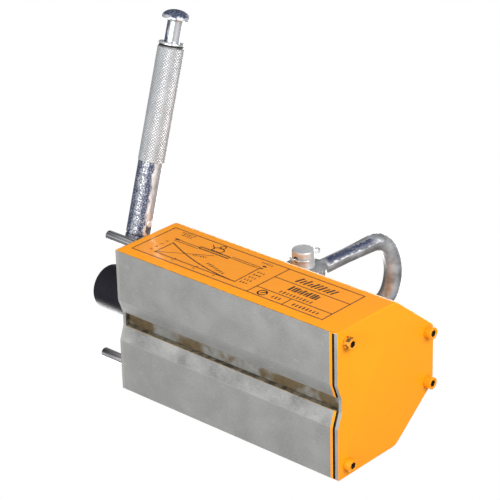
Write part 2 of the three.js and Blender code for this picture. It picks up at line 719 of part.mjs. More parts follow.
class Helix extends THREE.Curve {
  constructor(radius, from, to, turns) {
    super();
    Object.assign(this, { radius, from, to, turns });
  }

  getPoint(t, target = new THREE.Vector3()) {
    const angle = 2 * Math.PI * this.turns * t;
    return target.set(
      this.radius * Math.cos(angle), this.from + (this.to - this.from) * t, this.radius * Math.sin(angle));
  }
}

function buttonSpring() {
  const radius = (rodBoreRadius + springChamberRadius) / 2 - springWire;
  const clear = springWire + gap;
  const coil = new Helix(radius, springChamberBottom + clear, neckFootBottom - clear, springTurns);
  return tube(coil, springWire, 12 * springTurns, 6);
}

function addLever() {
  add(turning, 'hub', hub(), blackOxide);
  const rollPin = alongZ(bar(rollPinRadius, 1 - hubRadius, hubRadius - 1), rollPinX, 0);
  add(turning, 'hub_roll_pin', rollPin, machinedSteel);
  add(lever, 'lever_socket', socket(), chrome);
  add(lever, 'lever_rod', rod(), chrome);
  add(lever, 'end_bush', endBush(), chrome);
  add(lever, 'safety_button', button(), chrome);
  add(lever, 'push_rod', pushRod(), machinedSteel);
  const latch = alongX(bar(latchPinRadius, -latchPinReach, latchPinReach), latchPinAt);
  add(lever, 'latch_pin', latch, machinedSteel);
  add(lever, 'button_spring', buttonSpring(), stainless);
}

addBody();
addUpperMagnets();
addShackle();
addRotor();
addLever();

export default magnet;
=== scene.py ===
"""Looks of a permanent lifting magnet: painted body, ground pole faces, plated lever and shackle.

Lengths are in metres in the CAD model's own frame, which stands on its pole faces with +Z up.
"""

import json
import math
import random

import bpy
from bpy.props import FloatProperty, FloatVectorProperty, IntProperty, PointerProperty
from mathutils import Matrix, Vector


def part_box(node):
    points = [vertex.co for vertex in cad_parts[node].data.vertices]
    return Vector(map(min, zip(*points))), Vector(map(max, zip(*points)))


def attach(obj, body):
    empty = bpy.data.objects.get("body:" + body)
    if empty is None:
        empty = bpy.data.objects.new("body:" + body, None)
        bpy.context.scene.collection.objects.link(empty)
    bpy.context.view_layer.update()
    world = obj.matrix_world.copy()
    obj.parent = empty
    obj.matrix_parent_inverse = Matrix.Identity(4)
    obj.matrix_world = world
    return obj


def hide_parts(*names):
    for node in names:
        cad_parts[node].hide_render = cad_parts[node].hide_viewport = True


bl_info = {
    "name": "Lifting magnet",
    "version": (1, 0, 0),
    "blender": (4, 5, 0),
    "location": "View3D > Sidebar > Magnet",
    "description": "Builds the looks of a permanent lifting magnet around its CAD model",
    "category": "Object",
}

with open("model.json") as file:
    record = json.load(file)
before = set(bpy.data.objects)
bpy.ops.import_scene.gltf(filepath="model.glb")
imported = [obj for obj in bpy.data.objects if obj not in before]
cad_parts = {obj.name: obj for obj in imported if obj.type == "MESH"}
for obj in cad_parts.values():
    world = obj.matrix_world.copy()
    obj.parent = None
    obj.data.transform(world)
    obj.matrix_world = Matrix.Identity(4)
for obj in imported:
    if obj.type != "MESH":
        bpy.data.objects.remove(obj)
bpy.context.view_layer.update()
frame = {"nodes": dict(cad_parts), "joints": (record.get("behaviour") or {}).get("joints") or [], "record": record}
JOINTS = {joint["name"]: joint for joint in frame["joints"]}

# ---- places taken from the frame ---------------------------------------------------------------------

FRONT_LOW, FRONT_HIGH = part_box("pole_front")
REAR_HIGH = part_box("pole_rear")[1]
PLAIN_LOW, PLAIN_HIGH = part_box("plain_end_cover")
DRIVE_LOW, DRIVE_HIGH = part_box("drive_end_cover")
HUB_LOW, HUB_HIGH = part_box("hub")
STRIP_LOW, STRIP_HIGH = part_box("slot_strip")
LABEL_LOW, LABEL_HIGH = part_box("rating_label")
LUG_LOW, LUG_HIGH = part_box("lifting_lug")
MID_Y = (FRONT_LOW.y + REAR_HIGH.y) / 2
SIDE_HALF = (REAR_HIGH.y - FRONT_LOW.y) / 2
TOP_Z = FRONT_HIGH.z
AXIS_Z = JOINTS["rotor_turn"]["pos_m"][2]
PIN_CENTRE = Vector(JOINTS["shackle_swing"]["pos_m"])
LEVER_OUT = -Vector(JOINTS["button_press"]["axis"]).normalized()
ROD_LOW, ROD_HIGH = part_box("lever_rod")
LEVER_X = (ROD_LOW.x + ROD_HIGH.x) / 2
LEVER_FOOT = Vector((LEVER_X, MID_Y, AXIS_Z))
# The painted reflection bands on the lever run across it in this direction.
REFLECTION_BAND_SIDE = Vector((0.742, 0.023, 0.669))  # the bands on the lever follow each other this way
# The shackle's dark streak is painted reflection.
STREAK_FOOT = Vector((0, -0.018, 0.0155))     # where the shackle's dark streak starts, in its own frame

# ---- sizes that repeat the CAD model's ---------------------------------------------------------------

SHOULDER_Z = 0.070
TOP_HALF = 0.0255
V_HALF = 0.0185
V_DEPTH = 0.0046
SLOT_HALF = 0.0058
CHANNEL_HALF = 0.012
BORE_RADIUS = 0.0265
RELIEF_WIDTH = 0.002
RELIEF_DEPTH = 0.0016
SCREW_HEAD_RADIUS = 0.005
SCREW_HEAD_HEIGHT = 0.006
SCREW_RADIUS = 0.003
SCREW_SHANK = 0.0203
SOCKET_RADIUS = 0.0029
STOP_PINS = ("stop_pin_front", "stop_pin_rear")
STOP_PIN_RADIUS = 0.004
SHAFT_RADIUS = 0.008
HUB_RADIUS = 0.019
ROLL_PIN_RADIUS = 0.003
ROD_RADIUS = 0.0106
NECK_RADIUS = 0.007
SOCKET_SEAT = 0.0174
SOCKET_TOP = 0.051
TENON_LENGTH = 0.016
GRIP_BOTTOM = 0.113
GRIP_TOP = 0.210
GRIP_RADIUS = 0.0112
ROD_BORE = 0.006
SPRING_CHAMBER = 0.0077
SPRING_SEAT = 0.170
ROD_BORE_BOTTOM = 0.0512
LATCH_AT = 0.0625
LATCH_RADIUS = 0.003
LATCH_REACH = 0.0110
BUTTON_TRAVEL = 0.006
BUTTON_NECK = 0.0065
BUTTON_RADIUS = 0.01175
BUTTON_UNDERSIDE = 0.2313
BUTTON_DOME = 0.0068
BUTTON_BORE_TOP = 0.206
PUSH_ROD_RADIUS = 0.0035
FOOT_BOTTOM = 0.191
FOOT_TOP = 0.198
BUSH_TENON = 0.012
BUSH_HEIGHT = 0.0028
BUSH_JOINT = 0.0009
CLEAR = 0.0003
PAST = 0.01             # how far a cutting tool goes past what it cuts
NEAR = 0.0001           # a face this close to a place belongs to it
SKIN = 0.0008           # paint wraps this far round the body's lower edges
EYE_RADIUS = 0.0172
EYE_ROOT = 0.0140
EYE_ROOT_LIFT = 0.006
EYE_INNER = 0.011
EYE_OUTER = 0.024
SHACKLE_LEAN = math.radians(21)
ROD_OF_SHACKLE = 0.0072
BOW_HALF = 0.029
ARM_LENGTH = 0.064
REACH = 0.086
SHOULDER_PULL = 0.020   # how far the bow carries on in the arms' direction
CROWN_PULL = 0.007      # and level from the crown
PIN_RADIUS = 0.0095
PIN_HOLE = 0.0099
PIN_HEAD = 0.013
PIN_HEAD_THICK = 0.006
PIN_FRONT = 0.0152
COTTER_RADIUS = 0.0017
COTTER_HOLE = 0.0027
COTTER_FROM_END = 0.0066
COTTER_LOOP = 0.0042
LUG_RADIUS = 0.0165
LUG_FOOT_EDGE = 0.005
LUG_SHOULDER = math.radians(25)
TENON_HALF = (0.020, 0.007)
TENON_DEPTH = 0.016
DOWEL_Z = 0.109
DOWEL_RADIUS = 0.004


class MagnetSizes(bpy.types.PropertyGroup):
    """Sizes of the visible detail."""

    fold_radius: FloatProperty(
        name="Fold radius", description="Rounding where the sides meet the shoulders", default=0.0026,
        unit="LENGTH")
    cover_edge: FloatProperty(
        name="Cover edge", description="Rounding of the end covers' outer edges", default=0.0015,
        unit="LENGTH")
    face_edge: FloatProperty(
        name="Face edge", description="Rounding of the pole faces' edges", default=0.0007, unit="LENGTH")
    paint_margin: FloatProperty(
        name="Paint margin", description="Painted strip beside the groove at the plain end", default=0.0024,
        unit="LENGTH")
    knurl_rows: IntProperty(
        name="Knurl rows", description="Diamonds round the grip", default=28, min=12, max=60)
    knurl_depth: FloatProperty(
        name="Knurl depth", description="Height of each diamond", default=0.0005, unit="LENGTH")
    forging_grid: FloatProperty(
        name="Forging grid", description="Mesh size of the shackle", default=0.00085, unit="LENGTH")
    print_width: FloatProperty(
        name="Print width", description="Width of the label's thin lines", default=0.0009, unit="LENGTH")


class MagnetColours(bpy.types.PropertyGroup):
    """Colours of the finishes, linear."""

    paint: FloatVectorProperty(
        name="Paint", description="Enamel on the body and covers", subtype="COLOR",
        default=(1.0, 0.345, 0.006))
    label: FloatVectorProperty(
        name="Label", description="Film on the front side", subtype="COLOR", default=(0.98, 0.335, 0.016))
    ink: FloatVectorProperty(
        name="Ink", description="Print on the label", subtype="COLOR", default=(0.035, 0.018, 0.008))
    ground: FloatVectorProperty(
        name="Ground steel", description="Bare pole faces", subtype="COLOR", default=(0.33, 0.33, 0.32))
    zinc: FloatVectorProperty(
        name="Zinc", description="Plating on lever and shackle", subtype="COLOR", default=(0.66, 0.68, 0.70))
    # The blue-black of the painted dark reflections on the lever, button and shackle.
    navy: FloatVectorProperty(
        name="Painted dark reflection", description="Blue-black painted reflection on the plating", subtype="COLOR",
        default=(0.022, 0.035, 0.085))
    black: FloatVectorProperty(
        name="Black oxide", description="Hub and inner screws", subtype="COLOR",
        default=(0.009, 0.008, 0.014))


# ---- modelling ---------------------------------------------------------------------------------------


def start():
    """Leaves edit mode and deselects everything."""
    if bpy.context.object and bpy.context.object.mode != "OBJECT":
        bpy.ops.object.mode_set(mode="OBJECT")
    bpy.ops.object.select_all(action="DESELECT")


def pick(piece):
    start()
    piece.select_set(True)
    bpy.context.view_layer.objects.active = piece


def named(name):
    piece = bpy.context.active_object
    piece.name = name
    piece.data.name = name
    return piece


class Editing:
    """Edit mode on one piece, with all of its mesh selected."""

    def __init__(self, piece):
        self.piece = piece

    def __enter__(self):
        pick(self.piece)
        bpy.ops.object.mode_set(mode="EDIT")
        bpy.ops.mesh.select_all(action="SELECT")

    def __exit__(self, *_):
        bpy.ops.object.mode_set(mode="OBJECT")


def tidy_mesh(piece, merge=1e-6):
    with Editing(piece):
        bpy.ops.mesh.remove_doubles(threshold=merge)
        bpy.ops.mesh.delete_loose()
        bpy.ops.mesh.select_all(action="SELECT")
        bpy.ops.mesh.normals_make_consistent(inside=False)


def rounded(points, radius, steps=4, closed=False):
    """The outline with its corners rounded; radius is one number or one for each corner."""
    radii = radius if isinstance(radius, (list, tuple)) else [radius] * len(points)
    out = []
    for i, point in enumerate(points):
        at_end = not closed and i in (0, len(points) - 1)
        if at_end or radii[i] <= 0:
            out.append(tuple(point))
            continue
        corner = Vector(point)
        before = Vector(points[i - 1]) - corner
        after = Vector(points[(i + 1) % len(points)]) - corner
        reach_in = min(radii[i], 0.49 * before.length)
        reach_out = min(radii[i], 0.49 * after.length)
        first = corner + before.normalized() * reach_in
        last = corner + after.normalized() * reach_out
        for k in range(steps + 1):
            t = k / steps
            spot = first * (1 - t) ** 2 + corner * 2 * t * (1 - t) + last * t ** 2
            out.append(tuple(spot))
    return out


def prism(name, corners, low, high, along="X"):
    """A plate from an outline: in Y and Z when it runs along X, in X and Z when it runs along Y."""
    start()
    bpy.ops.mesh.primitive_circle_add(vertices=len(corners), fill_type="NGON")
    piece = named(name)
    for vertex, (across, up) in zip(piece.data.vertices, corners):
        vertex.co = (low, across, up) if along == "X" else (across, low, up)
    step = (high - low, 0, 0) if along == "X" else (0, high - low, 0)
    with Editing(piece):
        bpy.ops.mesh.extrude_region_move(TRANSFORM_OT_translate={"value": step})
        bpy.ops.mesh.select_all(action="SELECT")
        bpy.ops.mesh.normals_make_consistent(inside=False)
    return piece


def box(name, low, high):
    start()
    bpy.ops.mesh.primitive_cube_add(size=1)
    piece = named(name)
    size, middle = Vector(high) - Vector(low), (Vector(high) + Vector(low)) / 2
    piece.data.transform(Matrix.Translation(middle) @ Matrix.Diagonal((*size, 1)))
    return piece


def spun(name, profile, steps=64, place=None):
    """A turned piece about Z: the profile's points are (radius, height) and it closes on itself."""
    start()
    bpy.ops.mesh.primitive_circle_add(vertices=len(profile), fill_type="NOTHING")
    piece = named(name)
    for vertex, (radius, height) in zip(piece.data.vertices, profile):
        vertex.co = (radius, 0, height)
    with Editing(piece):
        bpy.ops.mesh.spin(steps=steps, angle=2 * math.pi, center=(0, 0, 0), axis=(0, 0, 1))
    tidy_mesh(piece)
    if place:
        piece.data.transform(place)
    return piece


def pin_profile(radius, low, high, low_edge, high_edge, steps=4):
    """Half the outline of a plain pin, with its two rims rounded."""
    corners = [(0, low), (radius, low), (radius, high), (0, high)]
    return rounded(corners, [0, low_edge, high_edge, 0], steps)


def middle_of(node):
    low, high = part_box(node)
    return (low + high) / 2


def cylinder(name, radius, low, high, place=None, sides=48):
    return spun(name, [(0, low), (radius, low), (radius, high), (0, high)], sides, place)


def along_x(x=0.0, y=0.0, z=0.0):
    """Carries a turned piece's axis from +Z to +X, with its zero at that place."""
    return Matrix.Translation((x, y, z)) @ Matrix.Rotation(math.pi / 2, 4, "Y")


def along_y(x=0.0, y=0.0, z=0.0):
    """The same with the axis carried to +Y."""
    return Matrix.Translation((x, y, z)) @ Matrix.Rotation(-math.pi / 2, 4, "X")


ROTOR_PLACE = along_x(0, MID_Y, AXIS_Z)
LEVER_PLACE = Matrix.Translation(LEVER_FOOT) @ Matrix.Rotation(math.atan2(-LEVER_OUT.y, LEVER_OUT.z), 4, "X")
SHACKLE_PLACE = Matrix.Translation(PIN_CENTRE) @ Matrix.Rotation(SHACKLE_LEAN, 4, "Y")


def apply_modifier(piece, kind, **settings):
    pick(piece)
    bpy.ops.object.modifier_add(type=kind)
    modifier = piece.modifiers[-1]
    for key, value in settings.items():
        setattr(modifier, key, value)
    bpy.ops.object.modifier_apply(modifier=modifier.name)


def cut(piece, *tools):
    for tool in tools:
        apply_modifier(piece, "BOOLEAN", object=tool, operation="DIFFERENCE", solver="EXACT")
        bpy.data.objects.remove(tool)


def fuse(piece, *others):
    for other in others:
        apply_modifier(piece, "BOOLEAN", object=other, operation="UNION", solver="EXACT")
        bpy.data.objects.remove(other)


def soften(piece, width, segments=3, angle=35):
    apply_modifier(piece, "BEVEL", width=width, segments=segments, limit_method="ANGLE",
                   angle_limit=math.radians(angle), use_clamp_overlap=True)


def joined(name, pieces):
    pick(pieces[0])
    for piece in pieces:
        piece.select_set(True)
    bpy.ops.object.join()
    return named(name)


def copy_of(piece, name, move):
    copy = piece.copy()
    copy.data = piece.data.copy()
    copy.name = copy.data.name = name
    bpy.context.collection.objects.link(copy)
    copy.data.transform(move)
    if move.determinant() < 0:
        copy.data.flip_normals()
    return copy


def hand_over(piece, body, nodes, finish=None, angle=32):
    """Smooth shading, finish, and the piece's place among the CAD bodies."""
    pick(piece)
    bpy.ops.object.shade_smooth_by_angle(angle=math.radians(angle))
    if finish:
        piece.data.materials.clear()
        piece.data.materials.append(MATERIALS[finish])
    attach(piece, body)
    if nodes:
        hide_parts(*nodes)


def finish_faces(piece, finishes, chosen):
    """Gives each face the finish that chosen(face) names."""
    piece.data.materials.clear()
    for finish in finishes:
        piece.data.materials.append(MATERIALS[finish])
    for face in piece.data.polygons:
        face.material_index = finishes.index(chosen(face))


# ---- node groups -------------------------------------------------------------------------------------


class Tree:
    """A node tree with short ways to add and join nodes."""

    def __init__(self, tree):
        self.tree = tree

    def add(self, kind, inputs=None, **settings):
        node = self.tree.nodes.new(kind)
        for key, value in settings.items():
            setattr(node, key, value)
        for key, value in (inputs or {}).items():
            self.put(node.inputs[key], value)
        return node

    def put(self, socket, value):
        if isinstance(value, bpy.types.NodeSocket):
            self.tree.links.new(value, socket)
        else:
            socket.default_value = value

    def noise(self, vector, scale, detail=3.0, roughness=0.55):
        node = self.add("ShaderNodeTexNoise", {"Vector": vector, "Scale": scale, "Detail": detail,
                                               "Roughness": roughness})
        return node.outputs["Fac"]

    def span(self, value, low, high, to_low=0.0, to_high=1.0):
        node = self.add("ShaderNodeMapRange", {"Value": value, "From Min": low, "From Max": high,
                                               "To Min": to_low, "To Max": to_high})
        return node.outputs["Result"]

    def sum(self, operation, first, second):
        return self.add("ShaderNodeMath", {0: first, 1: second}, operation=operation).outputs[0]

    def times(self, first, second):
        return self.sum("MULTIPLY", first, second)

    def plus(self, first, second):
        return self.sum("ADD", first, second)

    def far_from(self, value, centre):
        """How far a value is from a centre, whichever side it lies."""
        return self.sum("ABSOLUTE", self.plus(value, -centre), 0)

    def place(self):
        return self.add("ShaderNodeTexCoord").outputs["Object"]

    def mix(self, factor, first, second):
        node = self.add("ShaderNodeMix", data_type="RGBA")
        self.put(node.inputs["Factor"], factor)
        self.put(node.inputs[6], colour4(first))
        self.put(node.inputs[7], colour4(second))
        return node.outputs[2]

    def dot(self, vector, direction):
        node = self.add("ShaderNodeVectorMath", {0: vector, 1: direction}, operation="DOT_PRODUCT")
        return node.outputs["Value"]


def colour4(value):
    if isinstance(value, bpy.types.NodeSocket) or len(value) == 4:
        return value
    return (*value, 1.0)


def new_group(name, inputs, outputs):
    group = bpy.data.node_groups.new(name, "ShaderNodeTree")
    for socket, default in inputs.items():
        made = group.interface.new_socket(name=socket, in_out="INPUT", socket_type="NodeSocketFloat")
        made.default_value = default
    for socket in outputs:
        group.interface.new_socket(name=socket, in_out="OUTPUT", socket_type="NodeSocketFloat")
    tree = Tree(group)
    source = tree.add("NodeGroupInput")
    sink = tree.add("NodeGroupOutput")
    where = tree.place()
    return group, tree, source.outputs, sink.inputs, where


def make_mottle():
    """Soft clouds with fine specks in them: Cloud, Speck and Height."""
    group, tree, given, out, where = new_group(
        "Mottle", {"Cloud Scale": 30.0, "Speck Scale": 700.0}, ["Cloud", "Speck", "Height"])
    cloud = tree.noise(where, given["Cloud Scale"], detail=4)
    speck = tree.noise(where, given["Speck Scale"], detail=2)
    tree.put(out["Cloud"], tree.span(cloud, 0.35, 0.65))
    tree.put(out["Speck"], tree.span(speck, 0.40, 0.60))
    tree.put(out["Height"], tree.plus(tree.times(cloud, 0.3), tree.times(speck, 0.7)))
    return group


def make_grinding():
    """Fine lines along X, Y or Z, from the weights of the three directions: Line and Scratch."""
    group, tree, given, out, where = new_group(
        "Grinding", {"X": 1.0, "Y": 1.0, "Z": 1.0, "Scale": 900.0}, ["Line", "Scratch"])
    weights = tree.add("ShaderNodeCombineXYZ", {"X": given["X"], "Y": given["Y"], "Z": given["Z"]}).outputs[0]
    stretched = tree.add("ShaderNodeVectorMath", {0: where, 1: weights}, operation="MULTIPLY").outputs[0]
    line = tree.noise(stretched, given["Scale"], detail=2)
    scratch = tree.noise(stretched, tree.times(given["Scale"], 0.31), detail=5, roughness=0.7)
    tree.put(out["Line"], tree.span(line, 0.38, 0.62))
    tree.put(out["Scratch"], tree.span(scratch, 0.60, 0.68))
    return group


def make_lever_places():
    """Places on the lever: Across from -1 to 1 over the rod, Along in metres from the hub's axis, and Out."""
    group, tree, given, out, where = new_group(
        "Lever places", {"Radius": ROD_RADIUS}, ["Across", "Along", "Out"])
    local = tree.add("ShaderNodeVectorMath", {0: where, 1: LEVER_FOOT}, operation="SUBTRACT").outputs[0]
    across = (REFLECTION_BAND_SIDE - LEVER_OUT * REFLECTION_BAND_SIDE.dot(LEVER_OUT)).normalized()
    deep = LEVER_OUT.cross(across)
    side, depth = tree.dot(local, across), tree.dot(local, deep)
    out_from = tree.sum("SQRT", tree.plus(tree.times(side, side), tree.times(depth, depth)), 0)
    tree.put(out["Across"], tree.sum("DIVIDE", side, given["Radius"]))
    tree.put(out["Along"], tree.dot(local, LEVER_OUT))
    tree.put(out["Out"], tree.sum("DIVIDE", out_from, given["Radius"]))
    return group


# ---- materials ---------------------------------------------------------------------------------------

GROUPS = {}
MATERIALS = {}


def new_material(name, roughness=0.5, metallic=0.0, **plain):
    material = bpy.data.materials.new(name)
    material.use_nodes = True
    tree = Tree(material.node_tree)
    shader = material.node_tree.nodes["Principled BSDF"]
    shader.inputs["Roughness"].default_value = roughness
    shader.inputs["Metallic"].default_value = metallic
    for key, value in plain.items():
        shader.inputs[key.replace("_", " ")].default_value = value
    MATERIALS[name] = material
    return tree, shader


def use(tree, group, **inputs):
    node = tree.add("ShaderNodeGroup", node_tree=GROUPS[group])
    for key, value in inputs.items():
        tree.put(node.inputs[key.replace("_", " ")], value)
    return node.outputs


def bump(tree, shader, height, strength, distance):
    node = tree.add("ShaderNodeBump", {"Height": height, "Strength": strength, "Distance": distance})
    tree.put(shader.inputs["Normal"], node.outputs["Normal"])


def scaled(colour, by):
    return tuple(min(1.0, c * by) for c in colour)


def enamel(name, colour, shine=0.3, roughness=0.38):
    """Sprayed enamel: slight clouds in the colour and a little orange peel."""
    tree, shader = new_material(name, roughness, 0.0, Specular_IOR_Level=shine)
    mottle = use(tree, "Mottle", Cloud_Scale=22.0, Speck_Scale=420.0)
    clouded = tree.mix(mottle["Cloud"], scaled(colour, 0.975), scaled(colour, 1.01))
    tree.put(shader.inputs["Base Color"], clouded)
    tree.put(shader.inputs["Roughness"], tree.span(mottle["Speck"], 0, 1, roughness - 0.05, roughness + 0.06))
    bump(tree, shader, mottle["Height"], 0.05, 0.0003)


def chipped_enamel_and_shade(colours):
    """Enamel knocked off a screw head down to blackened steel, the dark standing partly for painted shade on the
    head's side.
    """
    tree, shader = new_material("chipped_enamel_and_shade", 0.4, 0.0)
    where = tree.place()
    chips = tree.span(tree.noise(where, 420.0, detail=4), 0.44, 0.50)
    steel = tree.mix(tree.noise(where, 900.0), (0.012, 0.010, 0.006), (0.16, 0.12, 0.04))
    tree.put(shader.inputs["Base Color"], tree.mix(chips, scaled(colours.paint, 0.8), steel))
    tree.put(shader.inputs["Roughness"], tree.span(chips, 0, 1, 0.4, 0.28))
    bump(tree, shader, chips, 0.2, 0.0002)


def ground_steel(name, colour, weights, bright=1.0, blotch=0.09):
    """Surface-ground steel: grinding lines one way, grey clouds, dark pits and a few scratches."""
    tree, shader = new_material(name, 0.48, 0.35)
    base = scaled(colour, bright)
    mottle = use(tree, "Mottle", Cloud_Scale=38.0, Speck_Scale=1100.0)
    lines = use(tree, "Grinding", X=weights[0], Y=weights[1], Z=weights[2], Scale=800.0)
    where = tree.place()
    pits = tree.span(tree.noise(where, 190.0, detail=5, roughness=0.75), 0.64, 0.72)
    clouded = tree.mix(mottle["Cloud"], scaled(base, 1 - blotch), scaled(base, 1 + blotch))
    lined = tree.mix(tree.times(lines["Line"], 0.35), clouded, scaled(base, 1.25))
    speckled = tree.mix(tree.times(mottle["Speck"], 0.35), lined, scaled(base, 0.7))
    pitted = tree.mix(tree.times(pits, 0.5), speckled, (0.10, 0.09, 0.075))
    scratched = tree.mix(tree.times(lines["Scratch"], 0.30), pitted, scaled(base, 1.6))
    tree.put(shader.inputs["Base Color"], scratched)
    tree.put(shader.inputs["Roughness"], tree.span(mottle["Cloud"], 0, 1, 0.42, 0.56))
    bump(tree, shader, tree.sum("SUBTRACT", mottle["Height"], pits), 0.25, 0.0003)


def plated(name, colour, roughness, metallic, lump=0.3, dark=0.7):
    """Plated or turned steel without tarnish: clouds, specks and a slightly uneven surface."""
    tree, shader = new_material(name, roughness, metallic)
    mottle = use(tree, "Mottle", Cloud_Scale=60.0, Speck_Scale=600.0)
    clouded = tree.mix(mottle["Cloud"], scaled(colour, 0.85), scaled(colour, 1.1))
    specked = tree.mix(tree.times(mottle["Speck"], 0.4), clouded, scaled(colour, dark))
    tree.put(shader.inputs["Base Color"], specked)
    tree.put(shader.inputs["Roughness"], tree.span(mottle["Cloud"], 0, 1, roughness - 0.07, roughness + 0.08))
    bump(tree, shader, mottle["Height"], lump, 0.0004)


def turned_steel(name, colour, roughness, metallic, weights, scale=700.0, contrast=(0.6, 1.2)):
    """Machined steel with tool marks one way."""
    tree, shader = new_material(name, roughness, metallic)
    lines = use(tree, "Grinding", X=weights[0], Y=weights[1], Z=weights[2], Scale=scale)
    mottle = use(tree, "Mottle", Cloud_Scale=70.0, Speck_Scale=500.0)
    lined = tree.mix(lines["Line"], scaled(colour, contrast[0]), scaled(colour, contrast[1]))
    clouded = tree.mix(tree.times(mottle["Cloud"], 0.3), lined, scaled(colour, 0.6))
    tree.put(shader.inputs["Base Color"], clouded)
    tree.put(shader.inputs["Roughness"], tree.span(lines["Line"], 0, 1, roughness - 0.06, roughness + 0.1))
    bump(tree, shader, lines["Line"], 0.15, 0.0002)


def lever_painted_reflection(colours):
    """Bright plating with painted reflection: a speckled blue-black band on one side with a lighter stripe in it,
    and painted shade in grey along the far edge.
    """
    tree, shader = new_material("lever_plating", 0.28, 0.55)
    places = use(tree, "Lever places", Radius=ROD_RADIUS)
    mottle = use(tree, "Mottle", Cloud_Scale=90.0, Speck_Scale=820.0)
    where = tree.place()
    across = tree.plus(places["Across"], tree.span(tree.noise(where, 160.0, detail=3), 0.3, 0.7, -0.12, 0.12))
    # painted reflection: the blue-black band stands for a dark surround mirrored in the rod
    band = tree.span(across, 0.44, 0.28)
    solid = tree.span(tree.far_from(across, -0.40), 0.14, 0.30)
    specks = tree.span(tree.noise(where, 900.0, detail=2), 0.36, 0.52)
    dense = tree.times(solid, tree.span(specks, 0, 1, 0.6, 1.0))
    dark = tree.times(band, tree.sum("MAXIMUM", tree.times(specks, 0.85), dense))
    zinc = tree.mix(mottle["Cloud"], scaled(colours.zinc, 0.82), scaled(colours.zinc, 1.2))
    # painted shade: grey along the rod's far edge
    edged = tree.mix(tree.span(across, 0.58, 0.70, 0, 0.75), zinc, (0.36, 0.35, 0.35))
    tree.put(shader.inputs["Base Color"], tree.mix(dark, edged, tuple(colours.navy)))
    tree.put(shader.inputs["Metallic"], tree.span(dark, 0, 0.6, 0.45, 0.0))
    tree.put(shader.inputs["Roughness"], tree.span(dark, 0, 1, 0.24, 0.5))
    bump(tree, shader, mottle["Height"], 0.25, 0.0003)


def dark_dome(colours):
    """The button: bright rim and neck, with painted dark reflection on the crown and down one side of the neck,
    and a painted darker line of reflection down its middle.
    """
    tree, shader = new_material("button_plating", 0.26, 0.55)
    places = use(tree, "Lever places", Radius=BUTTON_RADIUS)
    mottle = use(tree, "Mottle", Cloud_Scale=120.0, Speck_Scale=800.0)
    where = tree.place()
    wobble = tree.span(tree.noise(where, 200.0, detail=3), 0.3, 0.7, -0.08, 0.08)
    above = tree.span(places["Along"], BUTTON_UNDERSIDE + 0.002, BUTTON_UNDERSIDE + 0.003)
    below = tree.span(places["Along"], BUTTON_UNDERSIDE, BUTTON_UNDERSIDE - 0.001)
    # painted reflection: blue-black on the crown and on one side of the neck
    crown = tree.times(tree.span(tree.plus(places["Out"], wobble), 1.02, 0.95), above)
    neck = tree.times(tree.span(tree.plus(places["Across"], wobble), -0.36, -0.42), below)
    specks = tree.span(tree.noise(where, 850.0, detail=2), 0.36, 0.50, 0.75, 1.0)
    dark = tree.times(tree.sum("MAXIMUM", crown, neck), specks)
    # painted reflection: a darker line down the button's middle
    streak = tree.span(tree.far_from(places["Across"], 0.05), 0.02, 0.16)
    zinc = tree.mix(streak, scaled(colours.zinc, 0.62), scaled(colours.zinc, 1.15))
    clouded = tree.mix(tree.times(mottle["Cloud"], 0.4), zinc, scaled(colours.zinc, 0.85))
    tree.put(shader.inputs["Base Color"], tree.mix(dark, clouded, tuple(colours.navy)))
    tree.put(shader.inputs["Metallic"], tree.span(dark, 0, 0.6, 0.7, 0.0))
    tree.put(shader.inputs["Roughness"], tree.span(dark, 0, 1, 0.24, 0.45))
    bump(tree, shader, mottle["Height"], 0.15, 0.0002)


def smudged_shackle_with_reflection(colours):
    """Dull zinc with a painted dark reflection down the front arm and smudges on the bow."""
    tree, shader = new_material("shackle_zinc", 0.34, 0.7)
    mottle = use(tree, "Mottle", Cloud_Scale=75.0, Speck_Scale=650.0)
    where = tree.place()
    local = tree.add("ShaderNodeVectorMath", {0: where, 1: PIN_CENTRE}, operation="SUBTRACT").outputs[0]
    turn = SHACKLE_PLACE.to_3x3()
    arm = (turn @ (Vector((0, -BOW_HALF, ARM_LENGTH)) - STREAK_FOOT)).normalized()
    across = turn @ Vector((1, 0, 0))
    outward = arm.cross(across)
    outward = outward if outward.y < 0 else -outward
    root = turn @ STREAK_FOOT
    along = tree.sum("SUBTRACT", tree.dot(local, arm), root.dot(arm))
    lifted = tree.sum("SUBTRACT", tree.dot(local, outward), root.dot(outward))
    lift = tree.sum("DIVIDE", lifted, ROD_OF_SHACKLE)
    wobble = tree.span(tree.noise(where, 220.0, detail=3), 0.3, 0.7, -0.14, 0.14)
    side = tree.sum("DIVIDE", tree.dot(local, across), ROD_OF_SHACKLE)
    height = tree.plus(lift, wobble)
    # painted reflection: the dark streak on the arm's outward face
    streak = tree.times(tree.span(height, 0.32, 0.42), tree.span(height, 0.98, 0.88))
    length = tree.times(tree.span(along, 0.004, 0.008), tree.span(along, 0.056, 0.048))
    faces = tree.span(side, -0.2, 0.1)
    specks = tree.span(tree.noise(where, 700.0, detail=3), 0.36, 0.50, 0.8, 1.0)
    dark = tree.times(tree.times(streak, length), tree.times(specks, faces))
    smudge = tree.span(tree.noise(where, 55.0, detail=4, roughness=0.6), 0.56, 0.68)
    zinc = tree.mix(mottle["Cloud"], scaled(colours.zinc, 0.4), scaled(colours.zinc, 0.85))
    dulled = tree.mix(tree.times(smudge, 0.55), zinc, (0.22, 0.23, 0.26))
    tree.put(shader.inputs["Base Color"], tree.mix(dark, dulled, tuple(colours.navy)))
    tree.put(shader.inputs["Metallic"], tree.span(dark, 0, 0.6, 0.7, 0.0))
    tree.put(shader.inputs["Roughness"], tree.span(mottle["Speck"], 0, 1, 0.28, 0.42))
    bump(tree, shader, mottle["Height"], 0.35, 0.0005)


